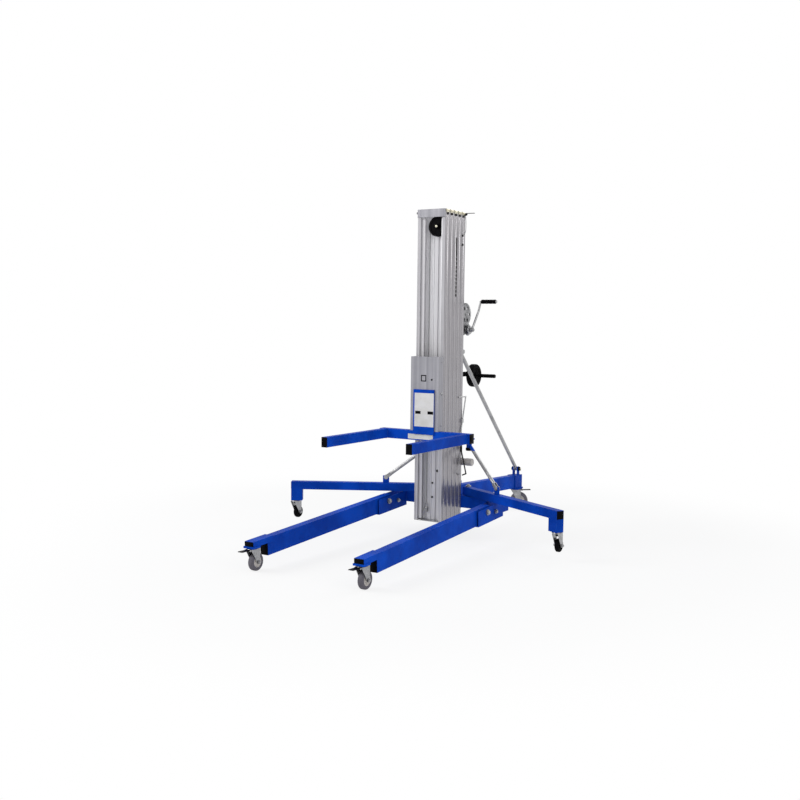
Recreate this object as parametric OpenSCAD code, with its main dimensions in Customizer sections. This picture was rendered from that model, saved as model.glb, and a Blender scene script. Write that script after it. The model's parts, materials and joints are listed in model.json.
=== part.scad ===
// Material hoist: a nested telescoping mast on a folding base with five casters,
// a hand winch behind the mast and a fork carriage on the front column.
// Millimetres, Z up, the fork points to -Y, y = 0 is the front of the mast.

/* [Mast] */
// Height of the stowed mast above the floor
mast_top = 1990; // [1800:5:2300]
// Gap between the floor and the lower end of the columns
mast_bottom = 114; // [100:1:140]
// Width of a column across its front
column_w = 190; // [180:1:210]
// Depth that each nested column adds to the mast
column_pitch = 50; // [48:0.5:56]
// Thickness of the column side flanges
column_wall = 5; // [4:0.5:6]
// Thickness of the column web
column_web = 4; // [3:0.5:6]
// Width of the front lips that hold the next column
lip_w = 22; // [20:0.5:26]
// Thickness of the front lips
lip_t = 4; // [3:0.5:5]
// Height of the ribs on the column web
rib_h = 4; // [2:0.5:6]
// Diameter of the front rope sheave
sheave_d = 120; // [100:1:122]
// Height of the crossplate at the top of the front column
crossplate_h = 48; // [35:1:60]

/* [Carriage] */
// Height of the carriage
carriage_h = 447; // [380:1:520]
// Depth of the carriage in front of the mast
carriage_d = 60; // [52:1:72]
// Height of the blue holder plate on the carriage
holder_h = 270; // [200:1:320]
// Width of the holder plate
holder_w = 142; // [110:1:170]
// Thickness of the holder plate
holder_t = 8; // [5:0.5:10]
// Diameter of the tie hole in the carriage front
tie_hole_d = 13; // [9:0.5:16]

/* [Fork] */
// Height of the fork's top face above the floor at rest
fork_top = 665; // [640:1:760]
// Height of the fork tubes
fork_h = 58; // [45:1:70]
// Width of a fork arm
fork_w = 38; // [30:1:48]
// Distance from the mast front to the fork tips
fork_reach = 693; // [550:1:760]
// Distance from the middle of the fork to the middle of an arm
fork_x = 277; // [230:1:285]
// Length of the crossbar
crossbar_l = 618; // [600:1:622]
// Depth of the crossbar
crossbar_d = 50; // [40:1:56]
// Wall of the fork tubes
fork_wall = 4; // [3:0.5:6]

/* [Base] */
// Lower face of the cross beam above the floor
beam_bottom = 165; // [150:1:175]
// Height of the cross beam
beam_h = 73; // [66:1:76]
// Depth of the cross beam
beam_d = 80; // [74:1:100]
// Thickness of the back plate between mast and beam
back_plate_t = 8; // [6:0.5:12]
// Height of the back plate
back_plate_h = 172; // [120:1:220]
// Wall of the base tubes
tube_wall = 4; // [3:0.5:6]

/* [Legs] */
// Distance from the middle to the middle of a leg
leg_x = 344; // [342:1:400]
// Width of a leg tube
leg_w = 50; // [40:1:50]
// Height of a leg tube
leg_h = 96; // [90:1:104]
// Fall of a leg from its pivot to the lower front end
leg_fall = 65.5; // [58:0.5:72]
// Distance from the leg pivot to the lower front end
leg_reach = 1184; // [1000:1:1230]
// Leg pivot behind the mast front
leg_pivot_y = 40; // [20:1:70]
// Leg pivot above the floor
leg_pivot_z = 198; // [194:0.5:202]
// Leg pivot above the middle of the tube
leg_pivot_rise = 15; // [5:0.5:18]
// Thickness of the knuckle bracket plates
knuckle_t = 5; // [4:0.5:7]
// Gap on each side between a leg and its bracket
knuckle_gap = 8; // [4:0.5:10]
// Length of the bracket ahead of the pivot
knuckle_front = 108; // [90:1:140]
// Height of the saddle tube at the leg's front
saddle_h = 31; // [28:0.5:36]
// Length of the saddle that stands ahead of the leg
saddle_front = 122; // [110:1:140]
// Length of the saddle that lies on the leg
saddle_back = 44; // [30:1:80]

/* [Outriggers] */
// Distance from the middle to an outrigger pivot
outrigger_x = 122; // [114:1:140]
// Length from the pivot to the outer caster
outrigger_reach = 892; // [820:1:940]
// Forward sweep of the outriggers, in degrees
outrigger_sweep = 29.1; // [26:0.1:33]
// Side of the square outrigger tube
outrigger_w = 50; // [44:1:54]
// Lower end of the drop tube above the floor
drop_bottom = 170; // [160:1:180]
// Length of the drop tube along the outrigger
drop_l = 72; // [56:1:90]
// Distance from the pivot to the strut lug
lug_reach = 310; // [280:1:350]
// Height of the strut's upper end above the floor
strut_top = 560; // [520:1:600]
// Diameter of the strut
strut_d = 22; // [16:0.5:26]

/* [Rear arm] */
// Length of the rear arm behind the cross beam
arm_l = 962; // [800:1:1000]
// Height of the rear arm tube
arm_h = 90; // [80:1:96]
// Width of the rear arm tube
arm_w = 50; // [40:1:60]
// Top of the rear arm at the cross beam, above the floor
arm_top = 289; // [286:0.5:296]
// Slope of the rear arm down to the rear, in degrees
arm_slope = 2.7; // [2.5:0.01:2.8]
// Diameter of the rear brace tube
brace_d = 25; // [18:0.5:27]
// Height of the upper brace pin above the floor
brace_top = 1135; // [1090:1:1170]

/* [Casters] */
// Diameter of the front wheels
front_wheel_d = 96; // [84:1:98]
// Width of the front wheels
front_wheel_w = 32; // [24:0.5:36]
// Height of the front casters
front_caster_h = 126; // [123:0.5:127]
// Diameter of the rear wheel
rear_wheel_d = 124; // [110:1:127]
// Width of the rear wheel
rear_wheel_w = 34; // [26:0.5:40]
// Height of the rear caster
rear_caster_h = 146; // [143:0.5:148]
// Diameter of the outrigger wheels
side_wheel_d = 75; // [65:1:80]
// Width of the outrigger wheels
side_wheel_w = 26; // [20:0.5:30]
// Height of the outrigger casters
side_caster_h = 117; // [112:0.5:120]
// Distance of a wheel axle behind its swivel axis
caster_trail = 30; // [22:0.5:36]
// Length of the brake pedals
pedal_l = 62; // [45:1:64]

/* [Winch] */
// Height of the drum axis above the floor
drum_z = 1370; // [1355:1:1400]
// Distance from the mast to the drum axis
drum_reach = 90; // [84:1:110]
// Diameter of the drum core
drum_d = 50; // [40:1:56]
// Width between the winch side plates
winch_w = 96; // [80:1:104]
// Module of the winch gears
gear_module = 3.1; // [2.8:0.05:3.2]
// Length of the crank from axis to grip
crank_l = 196; // [160:1:210]
// Length of the crank grip
grip_l = 100; // [80:1:120]
// Diameter of the crank grip
grip_d = 27; // [22:0.5:32]
// Diameter of the hoist rope
rope_d = 5; // [4:0.25:5.5]

/* [Loading wheel] */
// Diameter of the loading wheel
loading_d = 148; // [120:1:155]
// Width of the loading wheel
loading_w = 42; // [32:1:44]
// Height of the loading wheel axle above the floor
loading_z = 973; // [940:1:1000]
// Distance from the mast to the loading wheel axle
loading_back = 410; // [400:1:430]

/* [Fits] */
// Gap between sliding column faces
slide_gap = 0.5; // [0.3:0.05:1]
// Radial gap of a turning shaft in its bore
running_gap = 0.05; // [0.02:0.01:0.1]
// Gap between parts that pass or rest side by side
seat_gap = 0.3; // [0.3:0.05:0.6]

/* [Hidden] */
$fn = 48;
overrun = 1;
bend_swell = 0.5;

column_count = 5;
column_h = mast_top - mast_bottom;
mast_back = column_count * column_pitch - slide_gap;
rail_neck = 6;
rail_side_gap = 7;
rail_cover = 12;
rail_t = 4;
rail_x = column_w / 2 - lip_w - rail_side_gap;
rail_end = lip_t + slide_gap + rail_t;
rib_w = 5;
rib_share = 0.26;
groove_w = 3;
groove_d = 1.2;
groove_shares = [0.28, 0.62];
web_front = column_pitch - slide_gap - column_web;
web_hole_d = 16;
web_hole_x = 38;
web_hole_z = 415;
foot_t = 6;
crossplate_t = 6;

sheave_t = 20;
sheave_drop = 102;
sheave_groove = 9;
sheave_rim = 3;
sheave_side_gap = 2;
sheave_x = column_w / 2 - column_wall - sheave_d / 2 - sheave_side_gap;
sheave_z = mast_top - sheave_drop;
sheave_axle_r = 8;
sheave_boss = 6;
sheave_head = 4;
sheave_back = web_front - sheave_boss - seat_gap;
sheave_hub_r = 14;
rope_r = rope_d / 2;
sheave_rope_r = sheave_d / 2 - sheave_groove + rope_r + seat_gap;
clamp_w = 14;
clamp_h = 30;
clamp_z = 190;

holder_drop = 20;
holder_bottom = fork_top - holder_drop;
tie_hole_x = 50;
tie_hole_z = 975;
plug_t = 4;
plug_in = 20;

beam_top = beam_bottom + beam_h;
beam_front = mast_back + back_plate_t;
beam_back = beam_front + beam_d;
beam_mid = beam_front + beam_d / 2;

knuckle_in = leg_x - leg_w / 2 - knuckle_gap - knuckle_t;
knuckle_out = leg_x + leg_w / 2 + knuckle_gap + knuckle_t;
leg_slope = asin(leg_fall / leg_reach);
leg_low = leg_h / 2 + leg_pivot_rise;
leg_high = leg_h / 2 - leg_pivot_rise;
knuckle_back = 220;
knuckle_high = 25;
knuckle_tail = 120;
leg_tail_r = leg_low - seat_gap;
pivot_r = 10;
pivot_head_r = 17;
pivot_head = 9;
pivot_sleeve_r = 17;
frame_bolt_r = 8;
frame_bolt_head_r = 13;
frame_bolt_y = 150;
frame_bolt_z = 188;
saddle_over = 4;
saddle_side = 4;
pad_w = 66;
pad_l = 60;
swivel_in = 22;

outrigger_tail = 26;
collar_r = 20;
collar_h = 4;
outrigger_bottom = beam_top + collar_h + seat_gap;
outrigger_top = outrigger_bottom + outrigger_w;
outrigger_wall = 3;
side_pad_t = 6;
lug_t = 12;
lug_w = 40;
lug_rise = 36;
lug_pin_r = 6;
lug_cap_r = 11;
clevis_t = 4;
clevis_r = 14;
clevis_l = 34;
barrel_r = 17;
barrel_h = 60;
ear_t = 8;
ear_margin = 26;
ear_flange = 58;
ear_flange_t = 6;
ear_inset = 40;

arm_end = beam_back + arm_l;
arm_wall = 4;
end_block_l = 110;
end_block_over = 2;
end_block_side = 6;
rear_pad_w = 84;
rear_pad_l = 90;
rear_swivel_in = 50;
rear_swivel_y = arm_end - rear_swivel_in;
lug_gap = 1;
brace_ear_t = 6;
brace_ear_w = 34;
brace_pin_r = 6;
brace_eye_r = 14;
brace_low_in = 38;
brace_low_y = arm_end - brace_low_in;
brace_low_rise = 44;
brace_out = 135;
brace_wall = 3;
brace_foot_w = 80;
brace_foot_h = 90;
brace_foot_t = 5;

stem_r = 7;
stem_h = 9;
race_r = 23;
race_t = 4;
crown_t = 3;
crown_back = 26;
yoke_t = 3;
yoke_gap = 3;
yoke_foot_r = 11;
yoke_lip = 6;
axle_r = 5;
axle_head_r = 8;
axle_head = 4;
tread_round = 5;
hub_share = 0.62;
hub_dish = 4;
pedal_w = 30;
pedal_t = 4;
pedal_pin_r = 3;
pedal_eye_r = 5;
pedal_eye_gap = 1;
pedal_rise = 4;
front_pedal_y = -crown_back - pedal_eye_r - yoke_t;
rear_pedal_y = caster_trail + yoke_foot_r + yoke_t + pedal_eye_r;
rear_trail_angle = -59;

winch_plate_t = 4;
winch_foot_t = 5;
winch_bottom = 1216;
winch_top = 1440;
drum_y = mast_back + drum_reach;
gear_teeth = 44;
pinion_teeth = 22;
tooth_fill_share = 0.8;
tooth_high_share = 0.8;
tooth_deep_share = 1.2;
tooth_lean = 22;
gear_r = gear_module * gear_teeth / 2;
pinion_r = gear_module * pinion_teeth / 2;
gear_t = 8;
gear_gap = 2;
gear_x = winch_w / 2 + winch_plate_t + gear_gap;
gear_hole_r = 11;
gear_hole_share = 0.6;
gear_holes = 6;
mesh_angle = -70;
pinion_y = drum_y + (gear_r + pinion_r) * cos(mesh_angle);
pinion_z = drum_z + (gear_r + pinion_r) * sin(mesh_angle);
drum_flange_r = 48;
drum_flange_t = 3;
shaft_r = 8;
shaft_end = 4;
brake_r = 27;
brake_t = 9;
hub_r = 14;
hub_l = 18;
crank_r = 7;
crank_lean = 65;
crank_bend_share = 0.66;
crank_bend = 16;
crank_pin_r = 6;
crank_x = gear_x + gear_t + brake_t + 2 * shaft_end;
crank_tip_y = pinion_y + crank_l * cos(crank_lean);
crank_tip_z = pinion_z + crank_l * sin(crank_lean);
grip_cap = 4;

loop_count = 13;
loop_steps = 24;
loop_sides = 8;
loop_gap = 0.6;
loop_seat = 0.2;
loop_r = drum_d / 2 + rope_r + loop_seat;
loop_pitch = rope_d + loop_gap;
loop_start = -loop_count * loop_pitch / 2;
hoist_y = drum_y - loop_r - rope_d - seat_gap;
pulley_groove_r = 22;
pulley_r = 29;
pulley_t = 14;
pulley_rim = 2;
pulley_axle_r = 6;
pulley_rope_r = pulley_groove_r + rope_r + seat_gap;
pulley_y = hoist_y - pulley_rope_r;
pulley_drop = 42;
pulley_z = mast_top - pulley_drop;
pulley_ear_t = 4;
pulley_ear_h = 58;
rope_slot_w = 24;
rope_slot_h = 32;
rope_in = 22;

loading_y = mast_back + loading_back;
loading_x = -40;
loading_arm_w = 18;
loading_arm_h = 30;
loading_arm_gap = 4;
loading_arm_rise = 10;
loading_arm_x = loading_x - loading_w / 2 - loading_arm_w - loading_arm_gap;
loading_foot_w = 40;
loading_foot_h = 96;
loading_foot_t = 5;
loading_axle_r = 6;
loading_grip_r = 11;
loading_grip_l = 124;
loading_tip = 22;
loading_tread = 8;

canister_r = 22;
canister_l = 220;
canister_x = 48;
canister_z = 452;
canister_cap = 8;
clip_w = 14;
clip_t = 3;
clip_rise = 6;
clip_places = [-0.28, 0.12];

rod_r = 4;
lock_z = 860;
lock_front = 190;
lock_low = 640;
lock_side = 6;
lock_back = 32;
lock_lean = 58;
lock_clip_z = 700;
lock_clip_h = 24;
lock_clip_l = 22;
hook_top = 552;
hook_low = 384;
hook_out = 35;
hook_rise = 10;
hook_in = 12;
hook_foot_w = 24;
hook_foot_h = 34;
hook_foot_t = 4;

function column_y(i) = (column_count - i) * column_pitch;
function leg_point(y, z) = [
    leg_pivot_y + y * cos(leg_slope) - z * sin(leg_slope),
    leg_pivot_z + y * sin(leg_slope) + z * cos(leg_slope)];
swivel_reach = leg_reach + saddle_front - swivel_in;
saddle_low = leg_high + saddle_over - saddle_h;
swivel_y = leg_point(-swivel_reach, saddle_low)[0];
pad_top = leg_point(-swivel_reach, saddle_low + tube_wall)[1];
function arm_z(y) = arm_top - (y - beam_back) * tan(arm_slope);
function tooth_half(r, rp, m) =
    PI * m / 4 * tooth_fill_share - (r - rp) * tan(tooth_lean);
function tooth(n, m, start) = [
    for (i = [0 : n - 1])
        for (k = [-1, -1 / 2, 1 / 2, 1])
            let (rp = m * n / 2,
                 r = abs(k) == 1 ? rp - tooth_deep_share * m : rp + tooth_high_share * m,
                 a = start + 360 * i / n + sign(k) * asin(tooth_half(r, rp, m) / r))
            [r * cos(a), r * sin(a)]];
function loop_mid(i) =
    let (a = 360 * i / loop_steps)
    [loop_start + loop_pitch * i / loop_steps, loop_r * cos(a), loop_r * sin(a)];
function loop_ring(i) =
    let (a = 360 * i / loop_steps, c = loop_mid(i))
    [for (k = [0 : loop_sides - 1])
        let (b = 360 * k / loop_sides)
        c + rope_r * [sin(b), cos(b) * cos(a), cos(b) * sin(a)]];

module mirrored() {
    children();
    mirror([1, 0, 0]) children();
}

module box(a, b) {
    translate(a) cube(b - a);
}

module along_x(x, l) {
    translate([x, 0, 0]) rotate([90, 0, 90]) linear_extrude(l) children();
}

module rod_x(x, l, y, z, r) {
    translate([x, y, z]) rotate([0, 90, 0]) cylinder(h = l, r = r);
}

module bar(a, b, r) {
    d = b - a;
    translate(a) rotate([0, acos(d[2] / norm(d)), atan2(d[1], d[0])]) cylinder(h = norm(d), r = r);
}

// Mast

module rail_pair(neck) {
    mirrored() {
        translate([rail_x - rail_neck, -neck]) square([rail_neck, neck + rail_end]);
        translate([rail_x - rail_neck, lip_t + slide_gap])
            square([rail_neck + rail_side_gap + rail_cover, rail_t]);
    }
}

module column_section() {
    difference() {
        union() {
            mirrored() {
                translate([column_w / 2 - column_wall, 0]) square([column_wall, column_pitch - slide_gap]);
                translate([column_w / 2 - lip_w, 0]) square([lip_w, lip_t]);
                translate([rib_share * column_w / 2 - rib_w / 2, web_front - rib_h])
                    square([rib_w, rib_h + column_web / 2]);
            }
            translate([-column_w / 2, web_front]) square([column_w, column_web]);
        }
        for (s = groove_shares)
            mirrored()
                translate([column_w / 2 - groove_d, s * column_pitch])
                    square([groove_d + overrun, groove_w]);
    }
}

module moving_column(i) {
    translate([0, column_y(i), mast_bottom]) linear_extrude(column_h) {
        column_section();
        translate([0, column_pitch]) rail_pair(slide_gap + column_web);
    }
}

module base_column() {
    color("silver") difference() {
        union() {
            translate([0, column_y(1), mast_bottom]) linear_extrude(column_h) column_section();
            mirrored()
                box([pulley_t / 2 + seat_gap, mast_back - column_web, pulley_z - pulley_ear_h / 2],
                    [pulley_t / 2 + seat_gap + pulley_ear_t, pulley_y + pulley_r / 2,
                     pulley_z + pulley_ear_h / 2]);
            rod_x(-pulley_t / 2 - pulley_ear_t, pulley_t + 2 * pulley_ear_t,
                  pulley_y, pulley_z, pulley_axle_r);
        }
        box([-rope_slot_w / 2, column_y(1) + web_front - rib_h - overrun, mast_top - rope_slot_h],
            [rope_slot_w / 2, mast_back + overrun, mast_top + overrun]);
    }
}

module column_2() {
    color("silver") moving_column(2);
}

module column_3() {
    color("silver") moving_column(3);
}

module column_4() {
    color("silver") moving_column(4);
}

module column_5() {
    color("silver") difference() {
        union() {
            moving_column(5);
            translate([sheave_x, web_front + column_web / 2, sheave_z]) rotate([90, 0, 0])
                cylinder(h = column_web / 2 + sheave_boss, r = sheave_hub_r);
            translate([sheave_x, web_front, sheave_z]) rotate([90, 0, 0])
                cylinder(h = sheave_boss + sheave_t + 2 * seat_gap + sheave_head / 2, r = sheave_axle_r);
            translate([sheave_x, sheave_back - sheave_t - seat_gap, sheave_z]) rotate([90, 0, 0])
                cylinder(h = sheave_head, r = sheave_hub_r);
        }
        translate([web_hole_x, web_front - overrun, web_hole_z]) rotate([-90, 0, 0])
            cylinder(h = column_web + 2 * overrun, d = web_hole_d);
    }
}

module crossplate() {
    color("silver")
        box([-column_w / 2, -crossplate_t, mast_top - crossplate_h], [column_w / 2, 0, mast_top]);
}

module front_sheave() {
    color("dimgray") translate([sheave_x, sheave_back, sheave_z]) rotate([90, 0, 0])
        rotate_extrude()
            polygon([
                [sheave_axle_r + running_gap, 0], [sheave_d / 2, 0], [sheave_d / 2, sheave_rim],
                [sheave_d / 2 - sheave_groove, sheave_t / 2 - rope_r - seat_gap],
                [sheave_d / 2 - sheave_groove, sheave_t / 2 + rope_r + seat_gap],
                [sheave_d / 2, sheave_t - sheave_rim], [sheave_d / 2, sheave_t],
                [sheave_axle_r + running_gap, sheave_t]]);
}

module front_rope() {
    rope_y = sheave_back - sheave_t / 2;
    color("lightgray") {
        translate([sheave_x, rope_y, sheave_z]) rotate([90, 0, 0])
            rotate_extrude(angle = 180) translate([sheave_rope_r, 0]) circle(r = rope_r);
        for (s = [-1, 1]) {
            translate([sheave_x + s * sheave_rope_r, rope_y, clamp_z])
                cylinder(h = sheave_z - clamp_z, r = rope_r);
            box([sheave_x + s * sheave_rope_r - clamp_w / 2, rope_y - 2 * rope_r, clamp_z - clamp_h],
                [sheave_x + s * sheave_rope_r + clamp_w / 2, web_front - rib_h, clamp_z]);
        }
    }
}

module mast_foot() {
    color("gray")
        box([-column_w / 2, 0, mast_bottom - foot_t], [column_w / 2, mast_back, mast_bottom]);
}

// Carriage and fork

module carriage() {
    color("silver") difference() {
        translate([0, 0, fork_top]) linear_extrude(carriage_h) {
            translate([-column_w / 2, -carriage_d]) square([column_w, column_wall]);
            mirrored() {
                translate([column_w / 2 - column_wall, -carriage_d])
                    square([column_wall, carriage_d - 2 * slide_gap]);
                translate([column_w / 2 - lip_w, -carriage_d]) square([lip_w, column_wall + rib_h]);
            }
            rail_pair(carriage_d - column_wall / 2);
        }
        translate([tie_hole_x, -carriage_d - overrun, tie_hole_z]) rotate([-90, 0, 0])
            cylinder(h = column_wall + 2 * overrun + rib_h, d = tie_hole_d);
    }
}

module fork_holder() {
    color("royalblue")
        box([-holder_w / 2, -carriage_d - holder_t, holder_bottom],
            [holder_w / 2, -carriage_d, holder_bottom + holder_h]);
}

module fork_crossbar() {
    color("royalblue") difference() {
        box([-crossbar_l / 2, -carriage_d, fork_top - fork_h],
            [crossbar_l / 2, crossbar_d - carriage_d, fork_top]);
        box([-crossbar_l / 2 - overrun, fork_wall - carriage_d, fork_top - fork_h + fork_wall],
            [crossbar_l / 2 + overrun, crossbar_d - carriage_d - fork_wall, fork_top - fork_wall]);
    }
}

module fork_arm() {
    difference() {
        box([fork_x - fork_w / 2, -fork_reach, fork_top - fork_h],
            [fork_x + fork_w / 2, -carriage_d, fork_top]);
        box([fork_x - fork_w / 2 + fork_wall, -fork_reach - overrun, fork_top - fork_h + fork_wall],
            [fork_x + fork_w / 2 - fork_wall, overrun - carriage_d, fork_top - fork_wall]);
    }
}

module fork_arm_right() {
    color("royalblue") fork_arm();
}

module fork_arm_left() {
    color("royalblue") mirror([1, 0, 0]) fork_arm();
}

module fork_plugs() {
    inset = fork_wall + seat_gap;
    color("dimgray") mirrored() {
        box([fork_x - fork_w / 2, -fork_reach - plug_t, fork_top - fork_h],
            [fork_x + fork_w / 2, -fork_reach, fork_top]);
        box([fork_x - fork_w / 2 + inset, -fork_reach - plug_t / 2, fork_top - fork_h + inset],
            [fork_x + fork_w / 2 - inset, plug_in - fork_reach, fork_top - inset]);
        box([crossbar_l / 2, -carriage_d, fork_top - fork_h],
            [crossbar_l / 2 + plug_t, crossbar_d - carriage_d, fork_top]);
        box([crossbar_l / 2 - plug_in, inset - carriage_d, fork_top - fork_h + inset],
            [crossbar_l / 2 + plug_t / 2, crossbar_d - carriage_d - inset, fork_top - inset]);
    }
}

// Base frame

module back_plate() {
    color("royalblue")
        box([-column_w / 2, mast_back, beam_bottom], [column_w / 2, beam_front, beam_bottom + back_plate_h]);
}

module cross_beam() {
    color("royalblue") difference() {
        union() {
            box([-knuckle_in, beam_front, beam_bottom], [knuckle_in, beam_back, beam_top]);
            mirrored() translate([outrigger_x, beam_mid, beam_top - tube_wall])
                cylinder(h = tube_wall + collar_h, r = collar_r);
        }
        box([-knuckle_in - overrun, beam_front + tube_wall, beam_bottom + tube_wall],
            [knuckle_in + overrun, beam_back - tube_wall, beam_top - tube_wall]);
        mirrored() translate([outrigger_x, beam_mid, beam_top - tube_wall - overrun])
            cylinder(h = tube_wall + collar_h + 2 * overrun, r = pivot_r + running_gap);
    }
}

module leg_frame() {
    translate([leg_x, leg_pivot_y, leg_pivot_z]) rotate([leg_slope, 0, 0]) children();
}

module knuckle() {
    side = knuckle_out - leg_x;
    knuckle_low = leg_low + seat_gap + knuckle_t;
    difference() {
        along_x(knuckle_in, 2 * side) {
            translate([leg_pivot_y, leg_pivot_z])
                rotate(leg_slope)
                translate([-knuckle_front, -knuckle_low])
                square([knuckle_front + knuckle_back, knuckle_low + knuckle_high]);
            translate([beam_back - knuckle_tail, beam_bottom])
                square([knuckle_tail, beam_top - collar_h / 2 - beam_bottom]);
        }
        leg_frame()
            box([knuckle_t - side, -knuckle_front - overrun, -leg_low - seat_gap],
                [side - knuckle_t, knuckle_back + knuckle_tail, knuckle_high + knuckle_tail]);
        rod_x(knuckle_in - overrun, 2 * side + 2 * overrun, leg_pivot_y, leg_pivot_z, pivot_r + running_gap);
        rod_x(knuckle_in - overrun, 2 * side + 2 * overrun, frame_bolt_y, frame_bolt_z,
              frame_bolt_r + running_gap);
    }
}

module knuckle_right() {
    color("royalblue") knuckle();
}

module knuckle_left() {
    color("royalblue") mirror([1, 0, 0]) knuckle();
}

module base_pins() {
    side = knuckle_out - knuckle_in;
    pin_low = beam_top - tube_wall;
    barrel_top = strut_top + barrel_h / 2;
    color("lightgray") {
        mirrored() {
            rod_x(knuckle_in - pivot_head, side + 2 * pivot_head, leg_pivot_y, leg_pivot_z, pivot_r);
            rod_x(knuckle_out, pivot_head, leg_pivot_y, leg_pivot_z, pivot_head_r);
            rod_x(knuckle_in - pivot_head, pivot_head, leg_pivot_y, leg_pivot_z, pivot_head_r);
            rod_x(knuckle_in - pivot_head, side + 2 * pivot_head, frame_bolt_y, frame_bolt_z, frame_bolt_r);
            rod_x(knuckle_out, pivot_head, frame_bolt_y, frame_bolt_z, frame_bolt_head_r);
            rod_x(knuckle_in - pivot_head, pivot_head, frame_bolt_y, frame_bolt_z, frame_bolt_head_r);
            translate([outrigger_x, beam_mid, pin_low])
                cylinder(h = outrigger_top + seat_gap - pin_low + pivot_head / 2, r = pivot_r);
            translate([outrigger_x, beam_mid, outrigger_top + seat_gap])
                cylinder(h = pivot_head, r = pivot_head_r);
            translate([outrigger_x, beam_mid, pin_low - pivot_head])
                cylinder(h = pivot_head, r = pivot_head_r);
            translate([outrigger_x, beam_mid, barrel_top - barrel_h - pivot_head])
                cylinder(h = barrel_h + 2 * pivot_head + ear_t, r = pivot_r);
            translate([outrigger_x, beam_mid, barrel_top - barrel_h - seat_gap - pivot_head])
                cylinder(h = pivot_head, r = pivot_head_r);
            translate([outrigger_x, beam_mid, barrel_top + seat_gap + ear_t])
                cylinder(h = pivot_head, r = pivot_head_r);
        }
        for (p = [[mast_back + brace_out, brace_top], [brace_low_y, arm_z(brace_low_y) + brace_low_rise]]) {
            ear = brace_d / 2 + lug_gap + brace_ear_t;
            rod_x(-ear - pivot_head, 2 * ear + 2 * pivot_head, p[0], p[1], brace_pin_r);
            for (s = [-1, 1])
                rod_x(s * (ear + pivot_head / 2) - pivot_head / 2, pivot_head,
                      p[0], p[1], brace_eye_r - lug_gap);
        }
    }
}

module upper_ears() {
    barrel_top = strut_top + barrel_h / 2;
    color("royalblue") mirrored() difference() {
        union() {
            box([column_w / 2 - ear_inset, mast_back, barrel_top + seat_gap],
                [outrigger_x + ear_margin, beam_mid + ear_margin, barrel_top + seat_gap + ear_t]);
            box([column_w / 2 - ear_inset, mast_back, barrel_top + seat_gap + ear_t - ear_flange],
                [column_w / 2, mast_back + ear_flange_t, barrel_top + seat_gap + ear_t]);
        }
        translate([outrigger_x, beam_mid, barrel_top])
            cylinder(h = ear_t + overrun, r = pivot_r + running_gap);
    }
}

// Front legs

module leg() {
    side = leg_w / 2;
    front = -leg_reach;
    difference() {
        union() {
            leg_frame() difference() {
                union() {
                    difference() {
                        box([-side, front, -leg_low], [side, 0, leg_high]);
                        box([tube_wall - side, front - overrun, tube_wall - leg_low],
                            [side - tube_wall, overrun, leg_high - tube_wall]);
                    }
                    intersection() {
                        box([-side, 0, -leg_low], [side, leg_low, leg_high]);
                        rod_x(-side, leg_w, 0, 0, leg_tail_r);
                        difference() {
                            box([-side, 0, -leg_low], [side, leg_low, leg_high]);
                            box([tube_wall - side, -overrun, tube_wall - leg_low],
                                [side - tube_wall, leg_low + overrun, leg_high - tube_wall]);
                        }
                    }
                    rod_x(seat_gap - side - knuckle_gap, leg_w + 2 * knuckle_gap - 2 * seat_gap,
                          0, 0, pivot_sleeve_r);
                    difference() {
                        box([-side - saddle_side, front - saddle_front, saddle_low],
                            [side + saddle_side, front + saddle_back, leg_high + saddle_over]);
                        box([-side, front - saddle_front - overrun, saddle_low + tube_wall],
                            [side, front + overrun, leg_high]);
                        box([tube_wall - side, front, saddle_low - overrun],
                            [side - tube_wall, front + saddle_back + overrun, leg_high]);
                    }
                }
                rod_x(-knuckle_gap - side, leg_w + 2 * knuckle_gap, 0, 0, pivot_r + running_gap);
            }
            box([leg_x - pad_w / 2, swivel_y - pad_l / 2, front_caster_h],
                [leg_x + pad_w / 2, swivel_y + pad_l / 2, pad_top]);
        }
        translate([leg_x, swivel_y, front_caster_h - overrun])
            cylinder(h = pad_top - front_caster_h + stem_h, r = stem_r + running_gap);
    }
}

module leg_right() {
    color("royalblue") leg();
}

module leg_left() {
    color("royalblue") mirror([1, 0, 0]) leg();
}

// Outriggers

module outrigger_frame() {
    translate([outrigger_x, beam_mid, 0]) rotate([0, 0, -outrigger_sweep]) children();
}

module outrigger() {
    side = outrigger_w / 2;
    in = side - outrigger_wall;
    pin_z = outrigger_top + lug_rise;
    outrigger_frame() difference() {
        union() {
            difference() {
                box([-outrigger_tail, -side, outrigger_bottom],
                    [outrigger_reach + side, side, outrigger_top]);
                box([-outrigger_tail - overrun, -in, outrigger_bottom + outrigger_wall],
                    [outrigger_reach + side + overrun, in, outrigger_top - outrigger_wall]);
            }
            translate([0, 0, outrigger_bottom]) cylinder(h = outrigger_w, r = collar_r - outrigger_wall);
            difference() {
                box([outrigger_reach + side - drop_l, -side, drop_bottom],
                    [outrigger_reach + side, side, outrigger_bottom + outrigger_wall]);
                box([outrigger_reach + side - drop_l + outrigger_wall, -in, drop_bottom + side_pad_t],
                    [outrigger_reach + in, in, outrigger_bottom]);
            }
            box([lug_reach - lug_w / 2, -lug_t / 2, outrigger_top - outrigger_wall],
                [lug_reach + lug_w / 2, lug_t / 2, pin_z + lug_pin_r + clevis_t]);
        }
        translate([0, 0, outrigger_bottom - overrun])
            cylinder(h = outrigger_w + 2 * overrun, r = pivot_r + running_gap);
        translate([lug_reach, lug_t / 2 + overrun, pin_z]) rotate([90, 0, 0])
            cylinder(h = lug_t + 2 * overrun, r = lug_pin_r + running_gap);
        translate([outrigger_reach, 0, drop_bottom - overrun])
            cylinder(h = side_pad_t + 2 * overrun, r = stem_r + running_gap);
    }
}

module outrigger_right() {
    color("royalblue") outrigger();
}

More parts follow.
